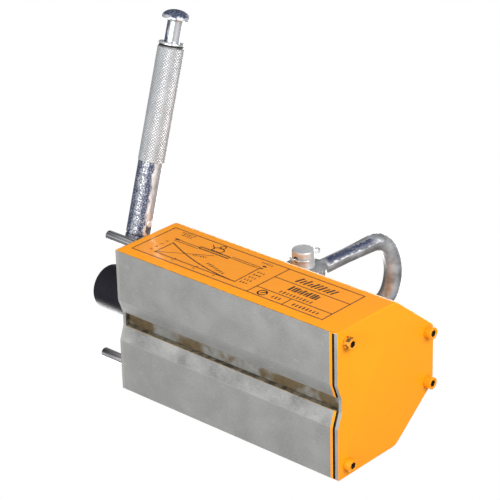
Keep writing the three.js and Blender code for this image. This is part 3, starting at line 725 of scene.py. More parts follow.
def knurled(colours):
    """Zinc on the tips of the knurl, with painted shade between them."""
    tree, shader = new_material("knurled_zinc", 0.42, 0.6)
    mottle = use(tree, "Mottle", Cloud_Scale=45.0, Speck_Scale=900.0)
    zinc = tree.mix(mottle["Cloud"], scaled(colours.zinc, 0.8), scaled(colours.zinc, 0.97))
    speckle_tone = tree.mix(tree.times(mottle["Speck"], 0.3), zinc, (0.20, 0.20, 0.20))
    places = use(tree, "Lever places", Radius=GRIP_RADIUS)
    # painted shade: dark zinc at the bottoms of the knurl's grooves
    groove = tree.span(places["Out"], 0.948, 0.968)
    tree.put(shader.inputs["Base Color"], tree.mix(groove, scaled(colours.zinc, 0.27), speckle_tone))
    tree.put(shader.inputs["Roughness"], tree.span(mottle["Speck"], 0, 1, 0.34, 0.5))
    bump(tree, shader, mottle["Height"], 0.1, 0.0002)


def browned_strip():
    """The strip in the slot: brown lacquer with bare grey patches along it."""
    tree, shader = new_material("browned_strip", 0.55, 0.2)
    where = tree.place()
    patches = tree.span(tree.noise(where, 26.0, detail=3), 0.47, 0.55)
    speckle_tone = tree.noise(where, 300.0, detail=4)
    brown = tree.mix(speckle_tone, (0.055, 0.038, 0.016), (0.19, 0.135, 0.066))
    grey = tree.mix(speckle_tone, (0.13, 0.127, 0.115), (0.34, 0.34, 0.32))
    tree.put(shader.inputs["Base Color"], tree.mix(patches, brown, grey))
    tree.put(shader.inputs["Roughness"], tree.span(speckle_tone, 0.3, 0.7, 0.45, 0.7))
    bump(tree, shader, speckle_tone, 0.2, 0.0004)


def two_colour_noise(name, low, high, scale=160.0):
    """Two colours mixed by noise: painted shade in the relief groove, sockets, cotter hole and bush joint, and the
    slot walls and paint traces.
    """
    tree, shader = new_material(name, 0.7, 0.0)
    where = tree.place()
    speckle_tone = tree.span(tree.noise(where, scale, detail=4), 0.4, 0.62)
    tree.put(shader.inputs["Base Color"], tree.mix(speckle_tone, low, high))
    bump(tree, shader, speckle_tone, 0.2, 0.0003)


def satin_black(colours):
    """Black oxide with a few grey specks."""
    tree, shader = new_material("black_oxide", 0.42, 0.0, Specular_IOR_Level=0.25)
    mottle = use(tree, "Mottle", Cloud_Scale=50.0, Speck_Scale=900.0)
    oxide = tree.mix(mottle["Cloud"], scaled(colours.black, 0.7), scaled(colours.black, 1.2))
    specked = tree.mix(tree.times(mottle["Speck"], 0.2), oxide, (0.03, 0.03, 0.04))
    tree.put(shader.inputs["Base Color"], specked)
    tree.put(shader.inputs["Roughness"], tree.span(mottle["Speck"], 0, 1, 0.36, 0.5))
    bump(tree, shader, mottle["Height"], 0.12, 0.0003)


def printed_ink(colours):
    """Dark brown ink, a little worn."""
    tree, shader = new_material("label_ink", 0.45, 0.0)
    ink = use(tree, "Mottle", Cloud_Scale=300.0, Speck_Scale=2500.0)
    tree.put(shader.inputs["Base Color"], tree.mix(ink["Speck"], colours.ink, scaled(colours.ink, 2.2)))


class MAGNET_OT_finishes(bpy.types.Operator):
    """Make every finish."""

    bl_idname = "magnet.finishes"
    bl_label = "Finishes"

    def execute(self, context):
        colours = context.scene.magnet_colours
        for group in (make_mottle(), make_grinding(), make_lever_places()):
            GROUPS[group.name] = group
        enamel("body_enamel", colours.paint)
        enamel("label_film", colours.label, shine=0.5, roughness=0.16)
        enamel("screw_enamel", scaled(colours.paint, 0.88), roughness=0.42)
        chipped_enamel_and_shade(colours)
        ground_steel("pole_face", colours.ground, (0.45, 1.0, 1.0))
        ground_steel("groove_face", colours.ground, (0.5, 1.0, 1.0), bright=0.95, blotch=0.4)
        ground_steel("cover_edge_steel", colours.ground, (1.0, 0.1, 0.1), bright=1.15)
        browned_strip()
        # dark brown, mottled by noise, on the slot walls and the covers' inner faces
        two_colour_noise("slot_wall_brown", (0.05, 0.042, 0.028), (0.19, 0.165, 0.115))
        # painted shade: near-black for the relief groove beside the plain end cover
        two_colour_noise("relief_painted_shade", (0.010, 0.007, 0.003), (0.05, 0.032, 0.012))
        two_colour_noise("paint_trace", (0.16, 0.085, 0.012), (0.42, 0.22, 0.03), scale=240.0)
        # painted shade: near-black in the screw sockets, the cotter hole and the joint under the bush's flange
        two_colour_noise("recess_painted_shade", (0.008, 0.006, 0.004), (0.05, 0.03, 0.008), scale=700.0)
        printed_ink(colours)
        lever_painted_reflection(colours)
        plated("bush_plating", colours.zinc, 0.26, 0.6, 0.2)
        plated("bare_zinc", scaled(colours.zinc, 1.1), 0.36, 0.45, 0.5)
        plated("lug_zinc", scaled(colours.zinc, 0.75), 0.45, 0.5, 0.5)
        knurled(colours)
        dark_dome(colours)
        smudged_shackle_with_reflection(colours)
        satin_black(colours)
        lengthwise, crosswise = (0.04, 1.0, 1.0), (1.0, 0.1, 0.1)
        # The stop pins' strong, wide lengthwise bands are painted reflection as well as tool marks.
        turned_steel("pin_steel", (0.42, 0.42, 0.44), 0.24, 0.6, lengthwise, 330.0, (0.12, 2.0))
        turned_steel("machined_steel", (0.42, 0.43, 0.44), 0.34, 0.8, crosswise)
        turned_steel("bearing_bronze", (0.50, 0.26, 0.09), 0.4, 0.8, crosswise)
        turned_steel("stainless", (0.5, 0.51, 0.52), 0.3, 0.85, (0.08, 1.0, 1.0))
        plated("magnet_nickel", (0.44, 0.44, 0.45), 0.3, 0.85, 0.15, 0.8)
        return {"FINISHED"}


# ---- body --------------------------------------------------------------------------------------------


def section_half(side, sizes):
    """One pole's outline in Y and Z, from the channel over the shoulder and the face to the slot."""
    corners = [(CHANNEL_HALF, TOP_Z), (TOP_HALF, TOP_Z), (SIDE_HALF, SHOULDER_Z), (SIDE_HALF, 0), (V_HALF, 0),
               (SLOT_HALF, V_DEPTH), (SLOT_HALF, AXIS_Z), (CHANNEL_HALF, AXIS_Z)]
    fold, edge = sizes.fold_radius, sizes.face_edge
    radii = [0, fold, fold * 1.4, edge, edge, edge / 2, 0, 0]
    return [(MID_Y + side * y, z) for y, z in rounded(corners, radii, closed=True)]


def relief_tool(side):
    """What the groove beside the plain end cover takes off one pole."""
    low, side_edge = -0.001, SIDE_HALF - SKIN
    edge = [(0, low), (0, V_DEPTH + RELIEF_DEPTH), (SLOT_HALF, V_DEPTH + RELIEF_DEPTH),
            (V_HALF, RELIEF_DEPTH), (side_edge, RELIEF_DEPTH), (side_edge, low)]
    return prism("relief_tool", [(MID_Y + side * y, z) for y, z in edge], FRONT_HIGH.x - RELIEF_WIDTH,
                 PLAIN_LOW.x + 0.001)


def pole_finish(margin_x, groove_x, side):
    """Which finish a face of a pole has, from its place and the way it faces."""
    def chosen(face):
        x, z, normal = face.center.x, face.center.z, face.normal
        across = abs(face.center.y - MID_Y)
        in_groove = groove_x - NEAR < x < FRONT_HIGH.x - NEAR
        if math.hypot(across, z - AXIS_Z) < BORE_RADIUS + 5 * NEAR:
            return "machined_steel"
        if across < SLOT_HALF + NEAR and z > V_DEPTH:
            return "slot_wall_brown"
        if abs(normal.z) < 0.25 and across > SLOT_HALF + 0.002 and not in_groove:
            return "body_enamel"
        # Low faces that don't face down, such as the relief groove's walls, take painted shade.
        if normal.z > -0.2:
            return "body_enamel" if z > V_DEPTH + 0.01 else "relief_painted_shade"
        if x > margin_x:
            # The relief groove's ceiling takes painted shade.
            sunk = x > groove_x and z > 5 * NEAR and across < SIDE_HALF - SKIN
            return "relief_painted_shade" if sunk else "body_enamel"
        if across > SIDE_HALF - SKIN and normal.z > -0.95 or across < SLOT_HALF + 6 * NEAR:
            return "paint_trace"
        return "groove_face" if across < V_HALF - 5 * NEAR and side > 0 else "pole_face"
    return chosen


class MAGNET_OT_body(bpy.types.Operator):
    """Make the two poles and the bar between their tops."""

    bl_idname = "magnet.body"
    bl_label = "Body"

    def execute(self, context):
        sizes = context.scene.magnet_sizes
        groove_x = FRONT_HIGH.x - RELIEF_WIDTH
        margin_x = groove_x - sizes.paint_margin
        ends = (DRIVE_HIGH.x, PLAIN_LOW.x)
        for name, side in (("pole_front", -1), ("pole_rear", 1)):
            pole = prism(name + "_steel", section_half(side, sizes), *ends)
            bore = cylinder("bore_tool", BORE_RADIUS, ends[0] - PAST, ends[1] + PAST, ROTOR_PLACE, 96)
            cut(pole, bore, relief_tool(side))
            with Editing(pole):
                bpy.ops.mesh.bisect(plane_co=(margin_x, 0, 0), plane_no=(1, 0, 0))
            tidy_mesh(pole)
            keys = ("body_enamel", "pole_face", "groove_face", "slot_wall_brown", "relief_painted_shade", "paint_trace",
                    "machined_steel")
            finish_faces(pole, keys, pole_finish(margin_x, groove_x, side))
            hand_over(pole, "root", [name], angle=28)
        bar_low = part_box("top_bar")[0]
        top = box("top_bar_steel", (ends[0], MID_Y - CHANNEL_HALF, bar_low.z),
                  (ends[1], MID_Y + CHANNEL_HALF, TOP_Z))
        cut(top, tenon_block("pocket_tool", CLEAR, PAST))
        hand_over(top, "root", ["top_bar"], "body_enamel")
        return {"FINISHED"}


def tenon_block(name, room, above):
    """The lug's tenon in the body's top, with room round it and under it, and so far above the top."""
    reach, half = TENON_HALF
    return box(name, (PIN_CENTRE.x - reach - room, MID_Y - half - room, TOP_Z - TENON_DEPTH - room),
               (PIN_CENTRE.x + reach + room, MID_Y + half + room, TOP_Z + above))


def cover_outline(sizes):
    """An end cover's outline in Y and Z: the body's own, with the shallow V in its lower edge."""
    half = [(SLOT_HALF, V_DEPTH), (V_HALF, 0), (SIDE_HALF, 0), (SIDE_HALF, SHOULDER_Z), (TOP_HALF, TOP_Z)]
    corners = half + [(-y, z) for y, z in reversed(half)]
    fold, edge = sizes.fold_radius, sizes.face_edge
    radii = [edge, edge, edge, fold * 1.4, fold]
    return [(MID_Y + y, z) for y, z in rounded(corners, radii + radii[::-1], closed=True)]


class MAGNET_OT_covers(bpy.types.Operator):
    """Make the two end covers, painted but for their bare lower edges."""

    bl_idname = "magnet.covers"
    bl_label = "End covers"

    def execute(self, context):
        sizes = context.scene.magnet_sizes
        for name, low, high, outer in (("plain_end_cover", PLAIN_LOW, PLAIN_HIGH, 1),
                                       ("drive_end_cover", DRIVE_LOW, DRIVE_HIGH, -1)):
            cover = prism(name + "_plate", cover_outline(sizes), low.x, high.x)
            outside = high.x if outer > 0 else low.x
            with Editing(cover):
                bpy.ops.mesh.select_all(action="DESELECT")
            for edge in cover.data.edges:
                ends = [cover.data.vertices[i].co for i in edge.vertices]
                outer_rim = all(abs(end.x - outside) < 1e-6 and end.z > 5 * NEAR for end in ends)
                edge.select = outer_rim and max(end.z for end in ends) > V_DEPTH + 0.001
            pick(cover)
            bpy.ops.object.mode_set(mode="EDIT")
            bpy.ops.mesh.bevel(offset=sizes.cover_edge, segments=5, affect="EDGES")
            bpy.ops.object.mode_set(mode="OBJECT")
            if outer < 0:
                past = (low.x - PAST, high.x + PAST)
                cut(cover, cylinder("shaft_tool", SHAFT_RADIUS + 2 * CLEAR, *past, ROTOR_PLACE))
                for pin in STOP_PINS:
                    middle = middle_of(pin)
                    cut(cover, cylinder("pin_tool", STOP_PIN_RADIUS + CLEAR, *past,
                                        along_x(0, middle.y, middle.z)))

            def chosen(face):
                if face.normal.z < -0.6 and face.center.z < V_DEPTH + 0.001:
                    return "cover_edge_steel"
                return "slot_wall_brown" if face.normal.x * outer < -0.9 else "body_enamel"

            finish_faces(cover, ("body_enamel", "cover_edge_steel", "slot_wall_brown"), chosen)
            hand_over(cover, "root", [name], angle=40)
        return {"FINISHED"}


def screw_profile():
    """A socket head screw along +Z with its seat at zero: shank, head with a rounded rim, and its socket."""
    rim, seat, bevel = 0.0007, 0.0002, 0.0005
    mouth = SCREW_HEAD_HEIGHT - 0.0004
    head = rounded([(SCREW_HEAD_RADIUS, seat), (SCREW_HEAD_RADIUS, SCREW_HEAD_HEIGHT),
                    (SOCKET_RADIUS + rim, SCREW_HEAD_HEIGHT), (SOCKET_RADIUS + 0.0002, mouth)],
                   [0, rim, 0, 0])
    return [(0, -SCREW_SHANK), (SCREW_RADIUS - bevel, -SCREW_SHANK), (SCREW_RADIUS, -SCREW_SHANK + bevel),
            (SCREW_RADIUS, seat), *head, (0, mouth)]


class MAGNET_OT_screws(bpy.types.Operator):
    """Make one cover screw and copy it to its eight places."""

    bl_idname = "magnet.screws"
    bl_label = "Cover screws"

    def execute(self, context):
        screw = spun("screw_pattern", screw_profile(), 40)
        cut(screw, cylinder("socket_tool", SOCKET_RADIUS, SCREW_HEAD_HEIGHT * 0.35, SCREW_HEAD_HEIGHT + 0.001,
                            sides=6))

        def chosen(face):
            inside = math.hypot(face.center.x, face.center.y) < SOCKET_RADIUS + NEAR
            deep = 0.001 < face.center.z < SCREW_HEAD_HEIGHT - 0.0007
            # painted shade deep in the hex socket
            return "recess_painted_shade" if inside and deep else "screw_enamel"

        finish_faces(screw, ("screw_enamel", "recess_painted_shade"), chosen)
        for end, cover_x, turn in (("plain", PLAIN_HIGH.x, 1), ("drive", DRIVE_LOW.x, -1)):
            for i, place in enumerate(("front_lower", "rear_lower", "front_upper", "rear_upper")):
                node = f"{end}_screw_{place}"
                middle = middle_of(node)
                tightened = Matrix.Rotation(0.35 + 0.9 * i, 4, "Z")
                copy = copy_of(screw, node + "_cap", Matrix.Translation((cover_x, middle.y, middle.z))
                               @ Matrix.Rotation(turn * math.pi / 2, 4, "Y") @ tightened)
                # The front lower screw's sides: chipped enamel, partly painted shade.
                if node == "plain_screw_front_lower":
                    copy.data.materials.append(MATERIALS["chipped_enamel_and_shade"])
                    for face in copy.data.polygons:
                        if abs(face.normal.x) < 0.3 and face.material_index == 0:
                            face.material_index = 2
                hand_over(copy, "root", [node], angle=38)
        bpy.data.objects.remove(screw)
        return {"FINISHED"}


class MAGNET_OT_pins_and_strip(bpy.types.Operator):
    """Make the two stop pins and the strip in the slot."""

    bl_idname = "magnet.pins_and_strip"
    bl_label = "Stop pins and slot strip"

    def execute(self, context):
        for name in STOP_PINS:
            low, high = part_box(name)
            middle = middle_of(name)
            profile = pin_profile(STOP_PIN_RADIUS, low.x, high.x, 0.0011, 0.0004)
            pin = spun(name + "_bar", profile, 48, along_x(0, middle.y, middle.z))
            hand_over(pin, "root", [name], "pin_steel")
        strip = box("slot_strip_bar", (DRIVE_HIGH.x, STRIP_LOW.y, STRIP_LOW.z),
                    (PLAIN_LOW.x, STRIP_HIGH.y, STRIP_HIGH.z))
        soften(strip, 0.0004, 2)
        hand_over(strip, "root", ["slot_strip"], "browned_strip")
        return {"FINISHED"}


# ---- label -------------------------------------------------------------------------------------------

FILM = 0.00012
PRINT = 0.00006
LABEL_Y = MID_Y - SIDE_HALF
PRINT_Y = LABEL_Y - FILM - PRINT / 2
FRAME_X = (-0.1078, 0.0920)
FRAME_Z = (0.0108, 0.0612)
DIVIDER_X = 0.0160
ROW_Z = (0.0227, 0.0437)
ENTRY_X = 0.0518
CHART_X = (-0.0888, -0.0025)
CHART_Z = (0.0176, 0.0388)


def bar(first, last, width):
    """One printed line between two places (x, z) on the label."""
    a, b = Vector(first), Vector(last)
    middle = (a + b) / 2
    start()
    bpy.ops.mesh.primitive_cube_add(size=1)
    line = bpy.context.active_object
    angle = math.atan2(b.y - a.y, b.x - a.x)
    line.data.transform(
        Matrix.Translation((middle.x, PRINT_Y, middle.y)) @ Matrix.Rotation(-angle, 4, "Y")
        @ Matrix.Diagonal(((b - a).length + width, PRINT, width, 1)))
    return line


def path(points, width):
    """Printed lines from each place to the next."""
    return [bar(a, b, width) for a, b in zip(points, points[1:])]


def ring_of(x, z, radius, sides):
    angles = [2 * math.pi * i / sides for i in range(sides + 1)]
    return [(x + radius * math.cos(a), z + radius * math.sin(a)) for a in angles]


def words(x, z, length, height, count, slant=0.0, seed=0, angle=0.0, bold=0.0):
    """A row of plain strokes where a label has its lines of print: single ones, or bold pairs."""
    dice = random.Random(seed)
    marks = []
    step = length / count
    along = Vector((math.cos(angle), math.sin(angle)))
    up = Vector((-math.sin(angle), math.cos(angle))) + along * slant
    for i in range(count):
        foot = Vector((x, z)) + along * i * step
        wide = step * dice.uniform(0.45, 0.62)
        tall = up * height * dice.uniform(0.85, 1.0)
        if not bold:
            marks.append(bar(foot, foot + tall, wide * 0.7))
            continue
        beside = foot + along * wide
        marks.append(bar(foot, foot + tall, bold))
        marks.append(bar(beside, beside + tall * dice.choice((0.55, 0.8, 1.0)), bold * 0.8))
    return marks


def number(text, x, z, height):
    """A plain number, as on a scale."""
    start()
    bpy.ops.object.text_add()
    piece = bpy.context.active_object
    piece.data.body = text
    piece.data.size = height * 1.4
    piece.data.extrude = PRINT / 2
    piece.data.resolution_u = 3
    bpy.ops.object.convert(target="MESH")
    piece.data.transform(Matrix.Translation((x, PRINT_Y, z)) @ Matrix.Rotation(math.pi / 2, 4, "X"))
    return piece


def chart(width):
    """The load chart: axes, a falling curve, a ray, scales, and the magnet on its plate above them."""
    (x0, x1), (z0, z1) = CHART_X, CHART_Z
    curve = [(x0 + (x1 - x0) * t, z0 + (z1 - z0) * ((1 - t) ** 1.9)) for t in [i / 14 for i in range(15)]]
    right_top = (x1 - 0.0008, 0.0478)
    lines = path([(x0, z1), (x0, z0), (x1, z0), right_top], width) + path(curve, width * 1.15)
    lines += path([(x0, z0 + 0.0006), (x0 + 0.042, z0 + 0.0240)], width * 0.7)
    for height in (0.0458, 0.0432):
        lines.append(bar((-0.0915, height), (-0.0665, height), width * 0.8))
    for height in (0.0492, 0.0468):
        lines.append(bar((-0.0335, height), (-0.0045, height), width * 0.8))
    lines.append(bar((-0.0925, 0.0458), (-0.0895, 0.0458), 0.0018))
    lines.append(bar((-0.0030, 0.0478), (-0.0010, 0.0482), 0.0016))
    plate = [(-0.0660, 0.0445), (-0.0350, 0.0445), (-0.0350, 0.0478), (-0.0660, 0.0478), (-0.0660, 0.0445)]
    lines += path(plate, width)
    for i in range(10):
        lines.append(bar((-0.0650 + 0.003 * i, 0.0450), (-0.0636 + 0.003 * i, 0.0473), width * 0.8))
    body = [(-0.0560, 0.0485), (-0.0460, 0.0485), (-0.0460, 0.0530), (-0.0480, 0.0548), (-0.0540, 0.0548),
            (-0.0560, 0.0530), (-0.0560, 0.0485)]
    lines += path(body, width)
    lines += path(ring_of(-0.0510, 0.0574, 0.0024, 12), width)
    lines.append(bar((-0.0560, 0.0520), (-0.0605, 0.0560), width))
    for i in range(4):
        lines.append(number(str(10 * (4 - i)), x0 - 0.0075, z0 + 0.0010 + 0.0062 * (3 - i), 0.0019))
    for i, x in enumerate((-0.0670, -0.0435, -0.0222)):
        lines.append(bar((x, z0), (x, z0 + 0.0012), width))
        lines.append(number(f"{10 * (i + 1)}", x - 0.0018, 0.0142, 0.0020))
    for i in range(5):
        lines += words(x1 + 0.0035, 0.0200 + 0.0052 * i, 0.0085, 0.0014, 3, seed=20 + i)
    lines += words(-0.0958, 0.0575, 0.0150, 0.0017, 6, seed=1)
    lines += words(-0.0925, 0.0540, 0.0110, 0.0017, 4, seed=2)
    lines += words(-0.0080, 0.0560, 0.0120, 0.0018, 5, seed=3)
    lines.append(bar((-0.0030, 0.0522), (-0.0012, 0.0522), 0.0020))
    lines += words(-0.0600, 0.0318, 0.0130, 0.0016, 6, seed=4, angle=0.25)
    lines += words(-0.0410, 0.0275, 0.0250, 0.0017, 8, seed=5, angle=-0.27)
    return lines


def rating_cell(width):
    """The right-hand cell: rows, blocks in place of lettering, and a ring with a pointer."""
    lines = [bar((DIVIDER_X, z), (FRAME_X[1], z), width) for z in ROW_Z]
    lines.append(bar((ENTRY_X, FRAME_Z[0]), (ENTRY_X, ROW_Z[0]), width))
    lines += words(0.0345, 0.0480, 0.0390, 0.0070, 5, slant=0.28, seed=11, bold=0.0021)
    lines += words(0.0395, 0.0335, 0.0300, 0.0062, 5, seed=12, bold=0.0021)
    lines += words(0.0370, 0.0258, 0.0335, 0.0027, 10, seed=13)
    lines += words(0.0380, 0.0152, 0.0100, 0.0028, 3, seed=14)
    lines += words(0.0590, 0.0150, 0.0270, 0.0028, 8, seed=15)
    lines += path(ring_of(0.0272, 0.0166, 0.0038, 14)[:-1], width * 1.3)
    lines.append(bar((0.0262, 0.0160), (0.0300, 0.0190), width * 1.4))
    return lines


class MAGNET_OT_label(bpy.types.Operator):
    """Make the label: its film and the print on it."""

    bl_idname = "magnet.label"
    bl_label = "Label"

    def execute(self, context):
        width = context.scene.magnet_sizes.print_width
        film = box("label_film_sheet", (LABEL_LOW.x, LABEL_Y - FILM, LABEL_LOW.z),
                   (LABEL_HIGH.x, LABEL_Y + 0.00002, LABEL_HIGH.z))
        soften(film, FILM * 0.4, 1)
        hand_over(film, "root", ["rating_label"], "label_film")
        (x0, x1), (z0, z1) = FRAME_X, FRAME_Z
        lines = path([(x0, z0), (x1, z0), (x1, z1), (x0, z1), (x0, z0)], width)
        lines.append(bar((DIVIDER_X, z0), (DIVIDER_X, z1), width))
        print_piece = joined("label_print", lines + chart(width) + rating_cell(width))
        hand_over(print_piece, "root", [], "label_ink")
        return {"FINISHED"}


# ---- lug and shackle ---------------------------------------------------------------------------------


class MAGNET_OT_lug(bpy.types.Operator):
    """Make the lug that the shackle's pin goes through."""

    bl_idname = "magnet.lug"
    bl_label = "Lug"

    def execute(self, context):
        half = (LUG_HIGH.x - LUG_LOW.x) / 2
        foot = TOP_Z - PIN_CENTRE.z
        arc = [LUG_SHOULDER + (math.pi - 2 * LUG_SHOULDER) * i / 24 for i in range(25)]
        corners = [(-half, foot), (half, foot), (half, foot + LUG_FOOT_EDGE)]
        corners += [(LUG_RADIUS * math.cos(a), LUG_RADIUS * math.sin(a)) for a in arc]
        corners.append((-half, foot + LUG_FOOT_EDGE))
        placed = [(PIN_CENTRE.x + x, PIN_CENTRE.z + z) for x, z in corners]
        lug = prism("lifting_lug_plate", placed, LUG_LOW.y, LUG_HIGH.y, along="Y")
        soften(lug, 0.0012, 3, 30)
        fuse(lug, tenon_block("tenon_tool", 0, 0.002))
        dowel_place = along_y(PIN_CENTRE.x, MID_Y, DOWEL_Z)
        cut(lug, cylinder("pin_tool", PIN_HOLE, -0.03, 0.03, along_y(*PIN_CENTRE), 64),
            cylinder("dowel_tool", DOWEL_RADIUS + CLEAR, -0.03, 0.03, dowel_place, 32))
        hand_over(lug, "root", ["lifting_lug"], "lug_zinc", angle=36)
        return {"FINISHED"}


def bow_points():
    """Centreline of the shackle's bow, from one eye over the crown to the other, in its own Y and Z."""
    shoulder, crown = Vector((BOW_HALF, ARM_LENGTH)), Vector((0, REACH))
    eye_side, eye_top, arm_start = Vector((0.0171, 0.002)), Vector((0.0172, 0.009)), Vector((0.0178, 0.0155))
    along = (shoulder - arm_start).normalized()
    first, second = shoulder + along * SHOULDER_PULL, Vector((CROWN_PULL, REACH))
    half = [eye_side, eye_top, arm_start, arm_start.lerp(shoulder, 0.5)]
    for i in range(13):
        t = i / 12
        half.append(shoulder * (1 - t) ** 3 + first * 3 * t * (1 - t) ** 2 + second * 3 * t * t * (1 - t)
                    + crown * t ** 3)
    return half + [Vector((-p.x, p.y)) for p in reversed(half[:-1])]


def rod_swell(up):
    """Thickness of the forged rod: thinnest halfway up the arms, thickest at the crown."""
    bend = ARM_LENGTH * 0.75
    if up < bend:
        return 1.0 - 0.11 * math.sin(math.pi * up / ARM_LENGTH)
    return 0.92 + 0.21 * (up - bend) / (REACH - bend)


def rod_along(name, points, radius, resolution=6, swell=None):
    """A round rod along a list of points, turned into a mesh; swell gives each point's own thickness."""
    start()
    curve = bpy.data.curves.new(name, "CURVE")
    curve.dimensions = "3D"
    curve.bevel_depth = radius
    curve.bevel_resolution = resolution
    curve.use_fill_caps = True
    spline = curve.splines.new("POLY")
    spline.points.add(len(points) - 1)
    for spot, place, thick in zip(spline.points, points, swell or [1.0] * len(points)):
        spot.co = (*place, 1)
        spot.radius = thick
    piece = bpy.data.objects.new(name, curve)
    bpy.context.collection.objects.link(piece)
    pick(piece)
    bpy.ops.object.convert(target="MESH")
    return bpy.context.active_object


class MAGNET_OT_shackle(bpy.types.Operator):
    """Make the forged shackle, its pin and the cotter pin."""

    bl_idname = "magnet.shackle"
    bl_label = "Shackle"

    def execute(self, context):
        grid = context.scene.magnet_sizes.forging_grid
        points = bow_points()
        swell = [rod_swell(p.y) for p in points]
        parts = [rod_along("bow", [(0, p.x, p.y) for p in points], ROD_OF_SHACKLE, 8, swell)]
        for side in (-1, 1):
            low, high = sorted((side * EYE_INNER, side * EYE_OUTER))
            parts.append(spun("eye", pin_profile(EYE_RADIUS, low, high, 0.002, 0.002), 56, along_y()))
            parts.append(spun("root", pin_profile(EYE_ROOT, low, high, 0.003, 0.003), 48,
                              along_y(z=EYE_ROOT_LIFT)))
        forging = joined("shackle_forging", parts)
        apply_modifier(forging, "REMESH", mode="VOXEL", voxel_size=grid, use_smooth_shade=True)
        apply_modifier(forging, "SMOOTH", factor=0.5, iterations=5)
        cut(forging, cylinder("pin_tool", PIN_HOLE, -0.04, 0.04, along_y(), 64))
        forging.data.transform(SHACKLE_PLACE)
        hand_over(forging, "shackle", ["shackle"], "shackle_zinc", angle=45)

        front, seat = -EYE_OUTER - PIN_FRONT, EYE_OUTER + CLEAR
        profile = rounded([(0, front), (PIN_RADIUS, front), (PIN_RADIUS, seat), (PIN_HEAD, seat),
                           (PIN_HEAD, seat + PIN_HEAD_THICK), (0, seat + PIN_HEAD_THICK)],
                          [0, 0.0016, 0, 0.0006, 0.0012, 0])
        pin = spun("shackle_pin_bar", profile, 64, along_y(*PIN_CENTRE))
        cotter_y = PIN_CENTRE.y + front + COTTER_FROM_END
        cut(pin, cylinder("cotter_tool", COTTER_HOLE, -0.02, 0.02,
                          Matrix.Translation((PIN_CENTRE.x, cotter_y, PIN_CENTRE.z)), 28))

        def chosen(face):
            inside = math.hypot(face.center.x - PIN_CENTRE.x, face.center.y - cotter_y) < COTTER_HOLE + NEAR
            # painted shade inside the cotter hole
            return "recess_painted_shade" if inside and abs(face.normal.z) < 0.1 else "bare_zinc"

        finish_faces(pin, ("bare_zinc", "recess_painted_shade"), chosen)
        hand_over(pin, "shackle", ["shackle_pin"])

        wire = COTTER_RADIUS / 2
        leg, curl, straight = wire + 0.00005, PIN_RADIUS + wire + 0.001, PIN_RADIUS + 0.0004
        loop_z = straight + COTTER_LOOP + 0.0006

        def arc(low, high, steps, radius, lift):
            angles = [math.radians(low + (high - low) * i / steps) for i in range(steps + 1)]
            return [(radius * math.cos(a), lift + radius * math.sin(a)) for a in angles]

        route = arc(240, 262, 4, curl, 0) + [(-leg, -straight), (-leg, 0), (-leg, straight)]
        route += arc(232, -52, 26, COTTER_LOOP, loop_z)
        route += [(leg, straight), (leg, 0), (leg, -straight)] + arc(-82, -25, 8, curl, 0)
        placed = [(PIN_CENTRE.x + x, cotter_y, PIN_CENTRE.z + z) for x, z in route]
        cotter = rod_along("cotter_pin_wire", placed, wire, 4)
        tidy_mesh(cotter)
        hand_over(cotter, "shackle", ["cotter_pin"], "bare_zinc", angle=60)
        return {"FINISHED"}


# ---- hub and lever -----------------------------------------------------------------------------------


class MAGNET_OT_hub(bpy.types.Operator):
    """Make the hub and the roll pin through it."""

    bl_idname = "magnet.hub"
    bl_label = "Hub"

    def execute(self, context):
        low, high = HUB_LOW.x, HUB_HIGH.x
        hub = spun("hub_block", pin_profile(HUB_RADIUS, low, high, 0.0030, 0.0016, 6), 96, ROTOR_PLACE)
        pin_x = middle_of("hub_roll_pin").x
        turn = LEVER_PLACE.to_3x3().to_4x4()
        across = Matrix.Translation((pin_x, MID_Y, AXIS_Z)) @ turn @ Matrix.Rotation(math.pi / 2, 4, "X")
        shaft_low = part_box("drive_shaft")[0].x
        cut(hub,
            cylinder("shaft_tool", SHAFT_RADIUS + CLEAR, shaft_low - CLEAR, high + PAST, ROTOR_PLACE),
            cylinder("neck_tool", NECK_RADIUS + CLEAR, 0, 0.03, LEVER_PLACE),
            cylinder("seat_tool", ROD_RADIUS + CLEAR, SOCKET_SEAT - CLEAR, 0.03, LEVER_PLACE, 64),
            cylinder("roll_tool", ROLL_PIN_RADIUS + CLEAR, -0.03, 0.03, across, 32))
        hand_over(hub, "rotor", ["hub"], "black_oxide", angle=40)
        reach = HUB_RADIUS - 0.001
        profile = pin_profile(ROLL_PIN_RADIUS, -reach, reach, 0.0006, 0.0006)
        pin = spun("hub_roll_pin_bar", profile, 32, across)
        hand_over(pin, "rotor", ["hub_roll_pin"], "pin_steel")
        return {"FINISHED"}


